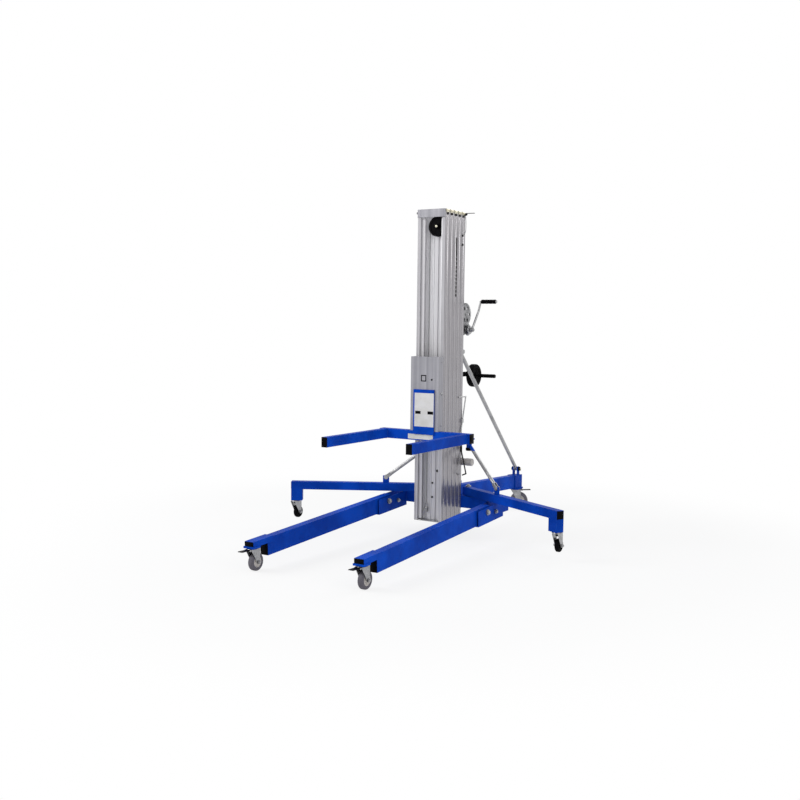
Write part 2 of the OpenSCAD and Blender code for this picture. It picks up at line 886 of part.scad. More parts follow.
module outrigger_left() {
    color("royalblue") mirror([1, 0, 0]) outrigger();
}

module strut() {
    pin_z = outrigger_top + lug_rise;
    lean = atan2(strut_top - pin_z, lug_reach);
    clevis_w = lug_t / 2 + seat_gap;
    outrigger_frame() difference() {
        union() {
            translate([0, 0, strut_top - barrel_h / 2]) cylinder(h = barrel_h, r = barrel_r);
            bar([0, 0, strut_top],
                [lug_reach, 0, pin_z] - clevis_l * [cos(lean), 0, -sin(lean)], strut_d / 2);
            for (s = [-1, 1])
                translate([lug_reach, s * (clevis_w + clevis_t / 2), pin_z]) {
                    rotate([90, 0, 0]) cylinder(h = clevis_t, r = clevis_r, center = true);
                    rotate([0, lean, 0])
                        translate([-clevis_l - strut_d / 4, -clevis_t / 2, -strut_d / 2])
                            cube([clevis_l + strut_d / 4, clevis_t, strut_d]);
                }
            translate([lug_reach, clevis_w + clevis_t, pin_z]) rotate([90, 0, 0])
                cylinder(h = 2 * clevis_w + 2 * clevis_t, r = lug_pin_r);
            for (s = [-1, 1])
                translate([lug_reach, s * (clevis_w + clevis_t + clevis_t / 2), pin_z]) rotate([90, 0, 0])
                    cylinder(h = clevis_t, r = lug_cap_r, center = true);
        }
        translate([0, 0, strut_top - barrel_h / 2 - overrun])
            cylinder(h = barrel_h + 2 * overrun, r = pivot_r + running_gap);
    }
}

module strut_right() {
    color("lightgray") strut();
}

module strut_left() {
    color("lightgray") mirror([1, 0, 0]) strut();
}

// Rear arm, end bracket and brace

module arm_outline(y0, y1, grow) {
    polygon([[y0, arm_z(y0) - arm_h - grow], [y1, arm_z(y1) - arm_h - grow],
             [y1, arm_z(y1) + grow], [y0, arm_z(y0) + grow]]);
}

module rear_arm() {
    color("royalblue") difference() {
        along_x(-arm_w / 2, arm_w) arm_outline(beam_back, arm_end, 0);
        along_x(arm_wall - arm_w / 2, arm_w - 2 * arm_wall)
            arm_outline(beam_back - overrun, arm_end + overrun, -arm_wall);
    }
}

module rear_bracket() {
    ear_in = brace_d / 2 + lug_gap;
    side = arm_w / 2 + end_block_side;
    pin_z = arm_z(brace_low_y) + brace_low_rise;
    color("royalblue") difference() {
        union() {
            along_x(-side, 2 * side) arm_outline(arm_end - end_block_l, arm_end, end_block_over);
            box([-rear_pad_w / 2, rear_swivel_y - rear_pad_l / 2, rear_caster_h],
                [rear_pad_w / 2, rear_swivel_y + rear_pad_l / 2,
                 arm_z(rear_swivel_y) - arm_h + end_block_over]);
            mirrored() {
                box([ear_in, brace_low_y - brace_ear_w / 2, arm_z(brace_low_y)],
                    [ear_in + brace_ear_t, brace_low_y + brace_ear_w / 2, pin_z]);
                rod_x(ear_in, brace_ear_t, brace_low_y, pin_z, brace_ear_w / 2);
            }
        }
        along_x(-arm_w / 2, arm_w)
            arm_outline(arm_end - end_block_l - overrun, arm_end + overrun, 0);
        translate([0, rear_swivel_y, rear_caster_h - overrun])
            cylinder(h = stem_h + 2 * overrun, r = stem_r + running_gap);
        rod_x(-ear_in - brace_ear_t - overrun, 2 * ear_in + 2 * brace_ear_t + 2 * overrun,
              brace_low_y, pin_z, brace_pin_r + running_gap);
    }
}

module rear_brace() {
    low = [0, brace_low_y, arm_z(brace_low_y) + brace_low_rise];
    high = [0, mast_back + brace_out, brace_top];
    color("lightgray") difference() {
        union() {
            difference() {
                bar(low, high, brace_d / 2);
                bar(low, high, brace_d / 2 - brace_wall);
            }
            for (p = [low, high])
                rod_x(-brace_d / 2, brace_d, p[1], p[2], brace_eye_r);
        }
        for (p = [low, high])
            rod_x(-brace_d, 2 * brace_d, p[1], p[2], brace_pin_r + running_gap);
    }
}

module brace_mount() {
    ear_in = brace_d / 2 + lug_gap;
    color("royalblue") difference() {
        union() {
            box([-brace_foot_w / 2, mast_back, brace_top - brace_foot_h / 2],
                [brace_foot_w / 2, mast_back + brace_foot_t, brace_top + brace_foot_h / 2]);
            mirrored() {
                box([ear_in, mast_back, brace_top - brace_ear_w / 2],
                    [ear_in + brace_ear_t, mast_back + brace_out, brace_top + brace_ear_w / 2]);
                rod_x(ear_in, brace_ear_t, mast_back + brace_out, brace_top, brace_ear_w / 2);
            }
        }
        rod_x(-ear_in - brace_ear_t - overrun, 2 * ear_in + 2 * brace_ear_t + 2 * overrun,
              mast_back + brace_out, brace_top, brace_pin_r + running_gap);
    }
}

// Casters, each drawn over the swivel axis with the wheel trailing to +Y

module yoke(h, wheel_d, wheel_w, pedal_y) {
    in = wheel_w / 2 + yoke_gap;
    crown_top = h - race_t - seat_gap;
    axle_z = wheel_d / 2;
    foot = yoke_foot_r;
    translate([0, 0, crown_top]) cylinder(h = race_t, r = race_r);
    translate([0, 0, crown_top]) cylinder(h = race_t + stem_h, r = stem_r);
    box([-in - yoke_t, -crown_back, crown_top - crown_t], [in + yoke_t, caster_trail + foot, crown_top]);
    for (s = [-1, 1])
        along_x(s * (in + yoke_t / 2) - yoke_t / 2, yoke_t) {
            polygon([[-crown_back, crown_top], [-crown_back, crown_top - yoke_lip],
                     [caster_trail - foot, axle_z - foot / 2], [caster_trail + foot, axle_z - foot / 2],
                     [caster_trail + foot, crown_top]]);
            translate([caster_trail, axle_z]) circle(r = foot);
        }
    rod_x(-in - yoke_t - axle_head, 2 * in + 2 * yoke_t + 2 * axle_head, caster_trail, axle_z, axle_r);
    for (s = [-1, 1])
        rod_x(s * (in + yoke_t + axle_head / 2) - axle_head / 2, axle_head,
              caster_trail, axle_z, axle_head_r);
    if (pedal_y != 0) {
        ear = pedal_w / 2 + pedal_eye_gap;
        pin_z = crown_top - crown_t;
        near = pedal_y < 0 ? yoke_t - crown_back : caster_trail + foot - yoke_t;
        far = pedal_y + sign(pedal_y) * pedal_eye_r;
        for (s = [-1, 1])
            box([s * (ear + yoke_t / 2) - yoke_t / 2, min(near, far), pin_z - pedal_eye_r],
                [s * (ear + yoke_t / 2) + yoke_t / 2, max(near, far), crown_top]);
        rod_x(-ear - yoke_t, 2 * ear + 2 * yoke_t, pedal_y, pin_z, pedal_pin_r);
    }
}

module pedal(h, pedal_y) {
    z = h - race_t - seat_gap - crown_t;
    d = sign(pedal_y);
    difference() {
        union() {
            rod_x(-pedal_w / 2, pedal_w, pedal_y, z, pedal_eye_r);
            along_x(-pedal_w / 2, pedal_w)
                polygon([[pedal_y, z - pedal_t / 2], [pedal_y + d * pedal_l, z + pedal_rise - pedal_t],
                         [pedal_y + d * pedal_l, z + pedal_rise], [pedal_y, z + pedal_t / 2]]);
        }
        rod_x(-pedal_w, 2 * pedal_w, pedal_y, z, pedal_pin_r + running_gap);
    }
}

module wheel(wheel_d, wheel_w) {
    r = wheel_d / 2;
    hub = hub_share * r;
    translate([-wheel_w / 2, caster_trail, r]) rotate([0, 90, 0]) rotate_extrude()
        polygon([[axle_r + running_gap, -yoke_gap / 2], [axle_head_r + yoke_t, -yoke_gap / 2],
                 [axle_head_r + yoke_t, hub_dish], [hub, hub_dish], [hub, 0],
                 [r - tread_round, 0], [r, tread_round], [r, wheel_w - tread_round],
                 [r - tread_round, wheel_w], [hub, wheel_w], [hub, wheel_w - hub_dish],
                 [axle_head_r + yoke_t, wheel_w - hub_dish],
                 [axle_head_r + yoke_t, wheel_w + yoke_gap / 2],
                 [axle_r + running_gap, wheel_w + yoke_gap / 2]]);
}

module front_place() {
    translate([leg_x, swivel_y, 0]) children();
}

module side_place() {
    outrigger_frame() translate([outrigger_reach, 0, drop_bottom - side_caster_h])
        rotate([0, 0, outrigger_sweep]) children();
}

module rear_place() {
    translate([0, rear_swivel_y, 0]) rotate([0, 0, rear_trail_angle]) children();
}

module front_yoke_right() {
    color("lightgray") front_place() yoke(front_caster_h, front_wheel_d, front_wheel_w, front_pedal_y);
}

module front_yoke_left() {
    color("lightgray") mirror([1, 0, 0]) front_place()
        yoke(front_caster_h, front_wheel_d, front_wheel_w, front_pedal_y);
}

module front_wheel_right() {
    color("gray") front_place() wheel(front_wheel_d, front_wheel_w);
}

module front_wheel_left() {
    color("gray") mirror([1, 0, 0]) front_place() wheel(front_wheel_d, front_wheel_w);
}

module front_pedal_right() {
    color("dimgray") front_place() pedal(front_caster_h, front_pedal_y);
}

module front_pedal_left() {
    color("dimgray") mirror([1, 0, 0]) front_place() pedal(front_caster_h, front_pedal_y);
}

module rear_yoke() {
    color("lightgray") rear_place() yoke(rear_caster_h, rear_wheel_d, rear_wheel_w, rear_pedal_y);
}

module rear_wheel() {
    color("gray") rear_place() wheel(rear_wheel_d, rear_wheel_w);
}

module rear_pedal() {
    color("dimgray") rear_place() pedal(rear_caster_h, rear_pedal_y);
}

module side_yoke_right() {
    color("lightgray") side_place() yoke(side_caster_h, side_wheel_d, side_wheel_w, 0);
}

module side_yoke_left() {
    color("lightgray") mirror([1, 0, 0]) side_place() yoke(side_caster_h, side_wheel_d, side_wheel_w, 0);
}

module side_wheel_right() {
    color("dimgray") side_place() wheel(side_wheel_d, side_wheel_w);
}

module side_wheel_left() {
    color("dimgray") mirror([1, 0, 0]) side_place() wheel(side_wheel_d, side_wheel_w);
}

// Winch

module winch_frame() {
    foot = mast_back + winch_foot_t;
    back = pinion_y + hub_r + winch_plate_t;
    side = winch_w / 2 + winch_plate_t;
    color("silver") difference() {
        union() {
            box([-side, mast_back, winch_bottom], [side, foot, winch_top]);
            for (s = [-1, 1])
                along_x(s * (side - winch_plate_t / 2) - winch_plate_t / 2, winch_plate_t)
                    polygon([[mast_back, winch_bottom], [back, pinion_z - hub_r - winch_plate_t],
                             [back, pinion_z + hub_r],
                             [drum_y + drum_flange_r / 2, drum_z + drum_flange_r / 2],
                             [drum_y, drum_z + drum_flange_r], [foot, winch_top], [mast_back, winch_top]]);
        }
        for (p = [[drum_y, drum_z], [pinion_y, pinion_z]])
            rod_x(-side - overrun, 2 * side + 2 * overrun, p[0], p[1], shaft_r + running_gap);
    }
}

module drum() {
    w = winch_w - 2 * drum_flange_t;
    color("gray") {
        rod_x(-w / 2, w, drum_y, drum_z, drum_d / 2);
        for (s = [-1, 1])
            rod_x(s * (w / 2 - drum_flange_t / 2) - drum_flange_t / 2, drum_flange_t,
                  drum_y, drum_z, drum_flange_r);
        rod_x(-gear_x - shaft_end, 2 * gear_x + gear_t + 2 * shaft_end, drum_y, drum_z, shaft_r);
    }
}

module drum_rope() {
    last = loop_count * loop_steps;
    rings = [for (i = [0 : last]) each loop_ring(i)];
    n = loop_sides;
    echo(loop_clear = loop_pitch - rope_d);
    color("lightgray") translate([0, drum_y, drum_z])
        polyhedron(
            points = rings,
            faces = concat(
                [[for (k = [0 : n - 1]) k]],
                [for (i = [0 : last - 1]) for (k = [0 : n - 1])
                    [i * n + k, (i + 1) * n + k, (i + 1) * n + (k + 1) % n, i * n + (k + 1) % n]],
                [[for (k = [n - 1 : -1 : 0]) last * n + k]]));
}

module drum_gear() {
    color("silver") difference() {
        translate([0, drum_y, drum_z])
            along_x(gear_x, gear_t) polygon(tooth(gear_teeth, gear_module, mesh_angle));
        rod_x(gear_x - overrun, gear_t + 2 * overrun, drum_y, drum_z, shaft_r + running_gap);
        for (i = [0 : gear_holes - 1])
            rod_x(gear_x - overrun, gear_t + 2 * overrun,
                  drum_y + gear_hole_share * gear_r * cos(360 * i / gear_holes),
                  drum_z + gear_hole_share * gear_r * sin(360 * i / gear_holes), gear_hole_r);
    }
}

module pinion() {
    color("gray") {
        translate([0, pinion_y, pinion_z])
            along_x(gear_x, gear_t)
                polygon(tooth(pinion_teeth, gear_module, 180 + mesh_angle + 180 / pinion_teeth));
        rod_x(-gear_x - shaft_end, 2 * gear_x + gear_t + brake_t + hub_l + 3 * shaft_end,
              pinion_y, pinion_z, shaft_r);
        rod_x(gear_x + gear_t + shaft_end, brake_t, pinion_y, pinion_z, brake_r);
    }
}

module crank() {
    hub_mid = crank_x + hub_l / 2;
    arm_x = hub_mid + crank_bend;
    start = [hub_mid, pinion_y, pinion_z];
    tip = [arm_x, crank_tip_y, crank_tip_z];
    bend = [arm_x, pinion_y, pinion_z]
        + crank_bend_share * [0, crank_tip_y - pinion_y, crank_tip_z - pinion_z];
    color("silver") difference() {
        union() {
            rod_x(crank_x, hub_l, pinion_y, pinion_z, hub_r);
            bar(start, bend, crank_r);
            bar(bend, tip, crank_r);
            translate(bend) sphere(r = crank_r + bend_swell);
            translate(tip) sphere(r = crank_r + bend_swell);
            rod_x(arm_x, crank_r + grip_l + grip_cap, crank_tip_y, crank_tip_z, crank_pin_r);
            rod_x(arm_x + crank_r + grip_l + 2 * seat_gap, grip_cap,
                  crank_tip_y, crank_tip_z, crank_pin_r + grip_cap);
        }
        rod_x(crank_x - overrun, hub_l + 2 * overrun, pinion_y, pinion_z, shaft_r + running_gap);
    }
}

module crank_grip() {
    from = crank_x + hub_l / 2 + crank_bend + crank_r + seat_gap;
    color("dimgray") difference() {
        rod_x(from, grip_l, crank_tip_y, crank_tip_z, grip_d / 2);
        rod_x(from - overrun, grip_l + 2 * overrun, crank_tip_y, crank_tip_z, crank_pin_r + running_gap);
    }
}

module top_pulley() {
    color("goldenrod") translate([-pulley_t / 2, pulley_y, pulley_z]) rotate([0, 90, 0])
        rotate_extrude()
            polygon([
                [pulley_axle_r + running_gap, 0], [pulley_r, 0], [pulley_r, pulley_rim],
                [pulley_groove_r, pulley_t / 2 - rope_r - seat_gap],
                [pulley_groove_r, pulley_t / 2 + rope_r + seat_gap],
                [pulley_r, pulley_t - pulley_rim], [pulley_r, pulley_t],
                [pulley_axle_r + running_gap, pulley_t]]);
}

module hoist_rope() {
    color("lightgray") {
        translate([0, hoist_y, drum_z]) cylinder(h = pulley_z - drum_z, r = rope_r);
        translate([0, pulley_y, pulley_z]) rotate([90, 0, 90])
            rotate_extrude(angle = 90) translate([pulley_rope_r, 0]) circle(r = rope_r);
        translate([0, pulley_y, pulley_z + pulley_rope_r]) rotate([90, 0, 0])
            cylinder(h = pulley_y - mast_back + rope_in, r = rope_r);
    }
}

// Loading wheel and small fittings

module loading_arm() {
    grip_x = loading_x + loading_w / 2 + loading_tip / 2;
    color("dimgray") {
        box([loading_arm_x - loading_foot_w / 2 + loading_arm_w / 2, mast_back,
             loading_z - loading_foot_h / 2],
            [loading_arm_x + loading_foot_w / 2 + loading_arm_w / 2, mast_back + loading_foot_t,
             loading_z + loading_foot_h / 2]);
        box([loading_arm_x, mast_back, loading_z + loading_arm_rise - loading_arm_h / 2],
            [loading_arm_x + loading_arm_w, loading_y, loading_z + loading_arm_rise + loading_arm_h / 2]);
        rod_x(loading_arm_x, loading_arm_w, loading_y, loading_z + loading_arm_rise, loading_arm_h / 2);
        rod_x(loading_arm_x, grip_x + loading_grip_l / 2 - loading_arm_x,
              loading_y, loading_z, loading_axle_r);
        rod_x(grip_x, loading_grip_l, loading_y, loading_z, loading_grip_r);
    }
}

module loading_wheel() {
    r = loading_d / 2;
    color("dimgray") translate([loading_x - loading_w / 2, loading_y, loading_z]) rotate([0, 90, 0])
        rotate_extrude()
            polygon([[loading_axle_r + running_gap, 0], [r - loading_tread, 0], [r, loading_tread],
                     [r, loading_w - loading_tread], [r - loading_tread, loading_w],
                     [loading_axle_r + running_gap, loading_w]]);
}

module canister() {
    y = mast_back + clip_rise + canister_r;
    color("lightgray") {
        rod_x(canister_x - canister_l / 2, canister_l, y, canister_z, canister_r);
        for (s = clip_places)
            difference() {
                union() {
                    rod_x(canister_x + s * canister_l, clip_w, y, canister_z, canister_r + clip_t);
                    box([canister_x + s * canister_l, mast_back, canister_z - canister_r],
                        [canister_x + s * canister_l + clip_w, y, canister_z + canister_r]);
                }
                rod_x(canister_x - canister_l, 2 * canister_l, y, canister_z, canister_r - clip_t);
            }
        rod_x(canister_x + canister_l / 2 - canister_cap, canister_cap,
              y, canister_z, canister_r + clip_t / 2);
    }
}

module lock_rod() {
    x = column_w / 2 + lock_side;
    back = mast_back + lock_back;
    bend = [x, back, lock_z];
    color("goldenrod") {
        bar([x, lock_front, lock_z], bend, rod_r);
        bar(bend, [x, back - lock_lean, lock_low], rod_r);
        translate(bend) sphere(r = rod_r + bend_swell);
        box([column_w / 2, mast_back - lock_clip_l, lock_clip_z],
            [x + rod_r + bend_swell, mast_back, lock_clip_z + lock_clip_h]);
    }
}

module hook_rod() {
    x = column_w / 2 + hook_foot_t;
    y = mast_back - hook_foot_w / 2;
    sunk = x + rod_r / 2;
    bend = [sunk, y, hook_top - hook_foot_h];
    low = [x + hook_out, y, hook_low];
    tip = [x + hook_in, y, hook_low - hook_rise];
    color("dimgray") {
        box([column_w / 2, y - hook_foot_w / 2, hook_top - hook_foot_h], [x, y + hook_foot_w / 2, hook_top]);
        bar([sunk, y, hook_top - hook_foot_h / 2], bend, rod_r);
        bar(bend, low, rod_r);
        bar(low, tip, rod_r);
        for (p = [bend, low, tip])
            translate(p) sphere(r = rod_r + bend_swell);
    }
}

base_column();
column_2();
column_3();
column_4();
column_5();
crossplate();
front_sheave();
front_rope();
mast_foot();
carriage();
fork_holder();
fork_crossbar();
fork_arm_right();
fork_arm_left();
fork_plugs();
back_plate();
cross_beam();
knuckle_right();
knuckle_left();
base_pins();
upper_ears();
leg_right();
leg_left();
outrigger_right();
outrigger_left();
strut_right();
strut_left();
rear_arm();
rear_bracket();
rear_brace();
brace_mount();
front_yoke_right();
front_yoke_left();
front_wheel_right();
front_wheel_left();
front_pedal_right();
front_pedal_left();
rear_yoke();
rear_wheel();
rear_pedal();
side_yoke_right();
side_yoke_left();
side_wheel_right();
side_wheel_left();
winch_frame();
drum();
drum_rope();
drum_gear();
pinion();
crank();
crank_grip();
top_pulley();
hoist_rope();
loading_arm();
loading_wheel();
canister();
lock_rod();
hook_rod();
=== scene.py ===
import json
from math import atan2, cos, hypot, pi, radians, sin, sqrt, tau
import bpy
import bmesh
from mathutils import Matrix, Vector

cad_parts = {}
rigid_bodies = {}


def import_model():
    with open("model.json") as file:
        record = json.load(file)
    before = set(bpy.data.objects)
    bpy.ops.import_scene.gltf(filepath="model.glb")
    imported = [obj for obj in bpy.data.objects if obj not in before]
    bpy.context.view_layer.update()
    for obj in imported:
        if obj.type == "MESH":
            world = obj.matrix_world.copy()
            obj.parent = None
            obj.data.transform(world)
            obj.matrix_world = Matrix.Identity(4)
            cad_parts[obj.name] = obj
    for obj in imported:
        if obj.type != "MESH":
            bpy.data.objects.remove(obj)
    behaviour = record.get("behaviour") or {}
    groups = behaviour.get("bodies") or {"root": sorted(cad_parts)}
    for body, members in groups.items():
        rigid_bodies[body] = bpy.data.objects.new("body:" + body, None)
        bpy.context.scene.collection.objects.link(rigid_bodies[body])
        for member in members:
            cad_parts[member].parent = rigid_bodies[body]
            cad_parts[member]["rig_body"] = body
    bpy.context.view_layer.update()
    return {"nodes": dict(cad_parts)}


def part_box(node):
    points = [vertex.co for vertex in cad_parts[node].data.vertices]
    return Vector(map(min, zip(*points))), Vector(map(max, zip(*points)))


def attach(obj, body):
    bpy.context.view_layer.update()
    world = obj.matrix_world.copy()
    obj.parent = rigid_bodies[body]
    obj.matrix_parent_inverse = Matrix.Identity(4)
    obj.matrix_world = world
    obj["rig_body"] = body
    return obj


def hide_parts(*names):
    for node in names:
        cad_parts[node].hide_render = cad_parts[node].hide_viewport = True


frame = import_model()
nodes = frame["nodes"]
bodyOf = {name: node["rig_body"] for name, node in nodes.items()}
sides = (("right", 1), ("left", -1))
scene = bpy.context.scene
scene.view_settings.view_transform = "Standard"


def place(name, data):
    made = bpy.data.objects.new(name, data)
    scene.collection.objects.link(made)
    return made


cameraView = {"azimuth": 31.3753, "pitch": 4.1532, "roll": 0.6991, "lens": 46.004, "sensor": 36,
              "farthest": 80, "spot": (3.0558, -5.3492, 1.2939)}


def addCamera(view):
    azimuth, pitch, roll = (radians(view[k]) for k in ("azimuth", "pitch", "roll"))
    lens = bpy.data.cameras.new("photoCamera")
    lens.sensor_width, lens.lens, lens.clip_end = view["sensor"], view["lens"], view["farthest"]
    camera = place("photoCamera", lens)
    turn = Matrix.Rotation(azimuth, 4, "Z") @ Matrix.Rotation(pi / 2 - pitch, 4, "X")
    camera.matrix_world = Matrix.Translation(view["spot"]) @ turn @ Matrix.Rotation(roll, 4, "Z")
    scene.camera = camera


addCamera(cameraView)
print("camera set at the photo's angle")


class Wire:
    # one socket of a shader tree; sums and products written on it add Math nodes
    def __init__(self, tree, socket=None):
        self.tree = tree
        self.socket = socket

    def node(self, kind, setup=None, plugs=None, out=0):
        made = self.tree.nodes.new(kind)
        for key, value in (setup or {}).items():
            if key == "stops":
                for i, (spot, colour) in enumerate(value):
                    stops = made.color_ramp.elements
                    stop = stops[i] if i < len(stops) else stops.new(spot)
                    stop.position = spot
                    stop.color = (*colour, 1)
            else:
                setattr(made, key, value)
        for key, value in (plugs or {}).items():
            if isinstance(value, Wire):
                self.tree.links.new(value.socket, made.inputs[key])
            else:
                made.inputs[key].default_value = value
        return Wire(self.tree, made.outputs[out]) if len(made.outputs) else None

    def maths(self, operation, *terms):
        return self.node("ShaderNodeMath", {"operation": operation}, dict(enumerate(terms)))

    def __add__(self, other):
        return self.maths("ADD", self, other)

    def __sub__(self, other):
        return self.maths("SUBTRACT", self, other)

    def __rsub__(self, other):
        return self.maths("SUBTRACT", other, self)

    def __mul__(self, other):
        return self.maths("MULTIPLY", self, other)

    __radd__ = __add__
    __rmul__ = __mul__

    def wave(self):
        return self.maths("SINE", self)

    def between(self, low, high):
        return self.node("ShaderNodeMapRange", {"interpolation_type": "SMOOTHSTEP"},
                         {"Value": self, "From Min": low, "From Max": high})

    def stretch(self, by):
        return self.node("ShaderNodeVectorMath", {"operation": "MULTIPLY"}, {0: self, 1: by})

    def along(self, axis):
        return self.node("ShaderNodeSeparateXYZ", {}, {0: self}, axis)

    def noise(self, scale, detail=4, rough=0.6):
        return self.node("ShaderNodeTexNoise", {},
                         {"Vector": self, "Scale": scale, "Detail": detail, "Roughness": rough})

    def cells(self, scale):
        return self.node("ShaderNodeTexVoronoi", {}, {"Vector": self, "Scale": scale})

    def tint(self, low, high):
        low, high = (end if isinstance(end, Wire) else (*end, 1) for end in (low, high))
        return self.node("ShaderNodeMix", {"data_type": "RGBA"}, {0: self, 6: low, 7: high}, 2)

    def ramp(self, *stops):
        return self.node("ShaderNodeValToRGB", {"stops": stops}, {0: self})

    def worn(self):
        return self.node("ShaderNodeAttribute", {"attribute_name": "edge"}, {}, "Fac")

    def seen(self):
        # true for rays that meet the surface straight from the camera, in a mirror or through glass
        camera, gloss, clear = (self.node("ShaderNodeLightPath", {}, {}, "Is %s Ray" % kind)
                                for kind in ("Camera", "Glossy", "Transmission"))
        return camera + gloss + clear


def emptyTree(owner):
    owner.use_nodes = True
    owner.node_tree.nodes.clear()
    return Wire(owner.node_tree)


finishes = {}


def finish(name, fixed, paint, look):
    material = bpy.data.materials.new(name)
    spot = emptyTree(material).node("ShaderNodeTexCoord", {}, {}, "Object")
    plugs = dict(fixed)
    plugs.update(paint(spot, look))
    if "relief" in plugs:
        height, depth = plugs.pop("relief")
        bump = {"Height": height, "Distance": depth, "Strength": 1}
        plugs["Normal"] = spot.node("ShaderNodeBump", {}, bump)
    shader = spot.node("ShaderNodeBsdfPrincipled", {}, plugs)
    spot.node("ShaderNodeOutputMaterial", {}, {"Surface": shader})
    finishes[name] = material


mastLook = {"dark": (0.3, 0.293, 0.312), "light": (0.53, 0.522, 0.54), "oxide": (0.38, 0.365, 0.37),
            "side": (0.275, 0.258, 0.275), "gap": (0.09, 0.088, 0.1), "rib": (0.5, 0.49, 0.5),
            "inside": (0.66, 0.65, 0.67), "shaded": (0.97, 0.96, 0.98), "crown": (0.15, 0.142, 0.15),
            "web": (0.004, 0.008, 0.046, 0.048), "pitch": 0.05, "half": 0.095, "skin": (0.0012, 0.0004),
            "brightUp": (0.45, 1.5), "leftPart": (-0.02, 0.02), "deepPart": (0.014, 0.03),
            "cleanUp": (1.05, 1.9), "crownUp": (1.55, 1.98)}
carriageLook = {"dark": (0.215, 0.214, 0.238), "light": (0.375, 0.37, 0.4), "oxide": (0.27, 0.26, 0.27)}


def millAluminium(spot, look):
    die = spot.stretch((640, 640, 1.6)).noise(1, 3)  # lines left by the die, up the mast
    band = spot.stretch((62, 62, 0.25)).noise(1, 2, 0.5)
    cloud = spot.noise(6)
    smear = spot.stretch((14, 14, 3)).noise(1, 5, 0.65).between(0.58, 0.75)
    shade = die * 0.25 + band * 0.55 + cloud * 0.2
    colour = shade.ramp((0.34, look["dark"]), (0.64, look["light"]))
    colour = (smear * 0.45).tint(colour, look["oxide"])
    plugs = {"Roughness": die * 0.14 + smear * 0.12 + 0.24, "relief": (die * 0.7 + band * 0.3, 0.00012)}
    if "pitch" in look:  # outer sides are polished and painted darker as shade, with painted shade where one column meets the next and a painted highlight along each column's rib
        x, y, z = (spot.along(axis) for axis in range(3))
        outer = (x * x).between(*((look["half"] - skin) ** 2 for skin in look["skin"]))
        start, full, last, end = look["web"]  # painted light: the inside of the front channel is painted lighter against the shade that falls in it, less so towards the bottom
        inside = y.between(start, full) * (1 - y.between(last, end)) * (1 - outer)
        inside = inside * (z.between(*look["brightUp"]) * 0.45 + 0.55)
        # painted light: the web's left part, in the shade of the left lip, is painted lighter still
        deep = (1 - x.between(*look["leftPart"])) * y.between(*look["deepPart"])
        colour = (inside * 0.92).tint(colour, deep.tint(look["inside"], look["shaded"]))
        ripple = (y * (tau / look["pitch"]) - pi / 2).wave()
        # painted shade: the outer sides get a darker colour than the front
        colour = (outer * 0.6).tint(colour, look["side"])
        # painted shade at each column's edge and a painted highlight on its rib, both weaker towards the
        # bottom
        sideShading = outer * (z.between(*look["cleanUp"]) * 0.7 + 0.3)
        colour = (sideShading * (ripple * -1).between(0.75, 0.98) * 0.75).tint(colour, look["gap"])
        colour = (sideShading * ripple.between(0.7, 0.95) * 0.6).tint(colour, look["rib"])
        colour = (outer * z.between(*look["crownUp"]) * 0.5).tint(colour, look["crown"])
        plugs["Metallic"] = outer * 0.45 + 0.25 - inside * 0.2
        plugs["Roughness"] = plugs["Roughness"] - outer * 0.08
    plugs["Base Color"] = colour
    return plugs


finish("aluminium", {}, millAluminium, mastLook)
finish("carriage_aluminium", {"Metallic": 0.3}, millAluminium, carriageLook)

paintLook = {"deep": (0.002, 0.036, 0.305), "bright": (0.0034, 0.066, 0.49), "scuff": (0.018, 0.1, 0.47),
             "primer": (0.06, 0.065, 0.1), "dust": (0.05, 0.085, 0.24)}


def bluePaint(spot, look):
    peel = spot.noise(520, 2, 0.5)
    cloud = spot.noise(4.5)
    fine = spot.noise(230, 4, 0.7)
    scratch = spot.stretch((55, 700, 620)).noise(1, 2, 0.5).between(0.7, 0.78)
    chip = (spot.worn() * fine).between(0.57, 0.63)  # bare primer shows only along worn edges
    rubbed = (spot.worn() * spot.noise(36, 3)).between(0.4, 0.75)
    dust = spot.noise(28, 5, 0.7).between(0.55, 0.85)
    colour = cloud.between(0.3, 0.7).tint(look["deep"], look["bright"])
    colour = (rubbed * 0.55 + scratch * 0.35).tint(colour, look["scuff"])
    colour = (dust * 0.07).tint(colour, look["dust"])
    return {"Base Color": chip.tint(colour, look["primer"]),
            "Roughness": 0.34 + cloud * 0.12 + dust * 0.15 + chip * 0.2,
            "Coat Weight": 0.012 - chip * 0.008 - dust * 0.004,
            "relief": (peel * 0.5 - chip * 0.5 - scratch * 0.3, 0.00018)}


finish("blue_paint", {"Coat Roughness": 0.12, "Specular IOR Level": 0.018}, bluePaint, paintLook)

zincLook = {"dull": (0.19, 0.192, 0.2), "bright": (0.42, 0.42, 0.43), "stain": (0.22, 0.205, 0.185)}
tubeLook = {"dull": (0.24, 0.24, 0.245), "bright": (0.47, 0.47, 0.47), "stain": (0.28, 0.265, 0.24)}


def brightZinc(spot, look):
    grain = spot.noise(380, 3)
    spangle = spot.cells(95)
    cloud = spot.noise(17)
    stain = spot.noise(24, 5, 0.7).between(0.6, 0.8)
    shade = grain * 0.3 + spangle * 0.15 + cloud * 0.5
    colour = shade.ramp((0.3, look["dull"]), (0.62, look["bright"]))
    return {"Base Color": (stain * 0.5).tint(colour, look["stain"]),
            "Roughness": grain * 0.14 + stain * 0.2 + 0.2,
            "relief": (grain, 0.00012)}


finish("zinc_steel", {"Metallic": 0.9}, brightZinc, zincLook)
finish("tube_zinc", {"Metallic": 0.6}, brightZinc, tubeLook)

passivateLook = {"gold": (0.55, 0.4, 0.115), "green": (0.47, 0.46, 0.19), "rose": (0.52, 0.33, 0.22)}
paleLook = {"gold": (0.68, 0.64, 0.5), "green": (0.62, 0.61, 0.5), "rose": (0.6, 0.53, 0.43)}


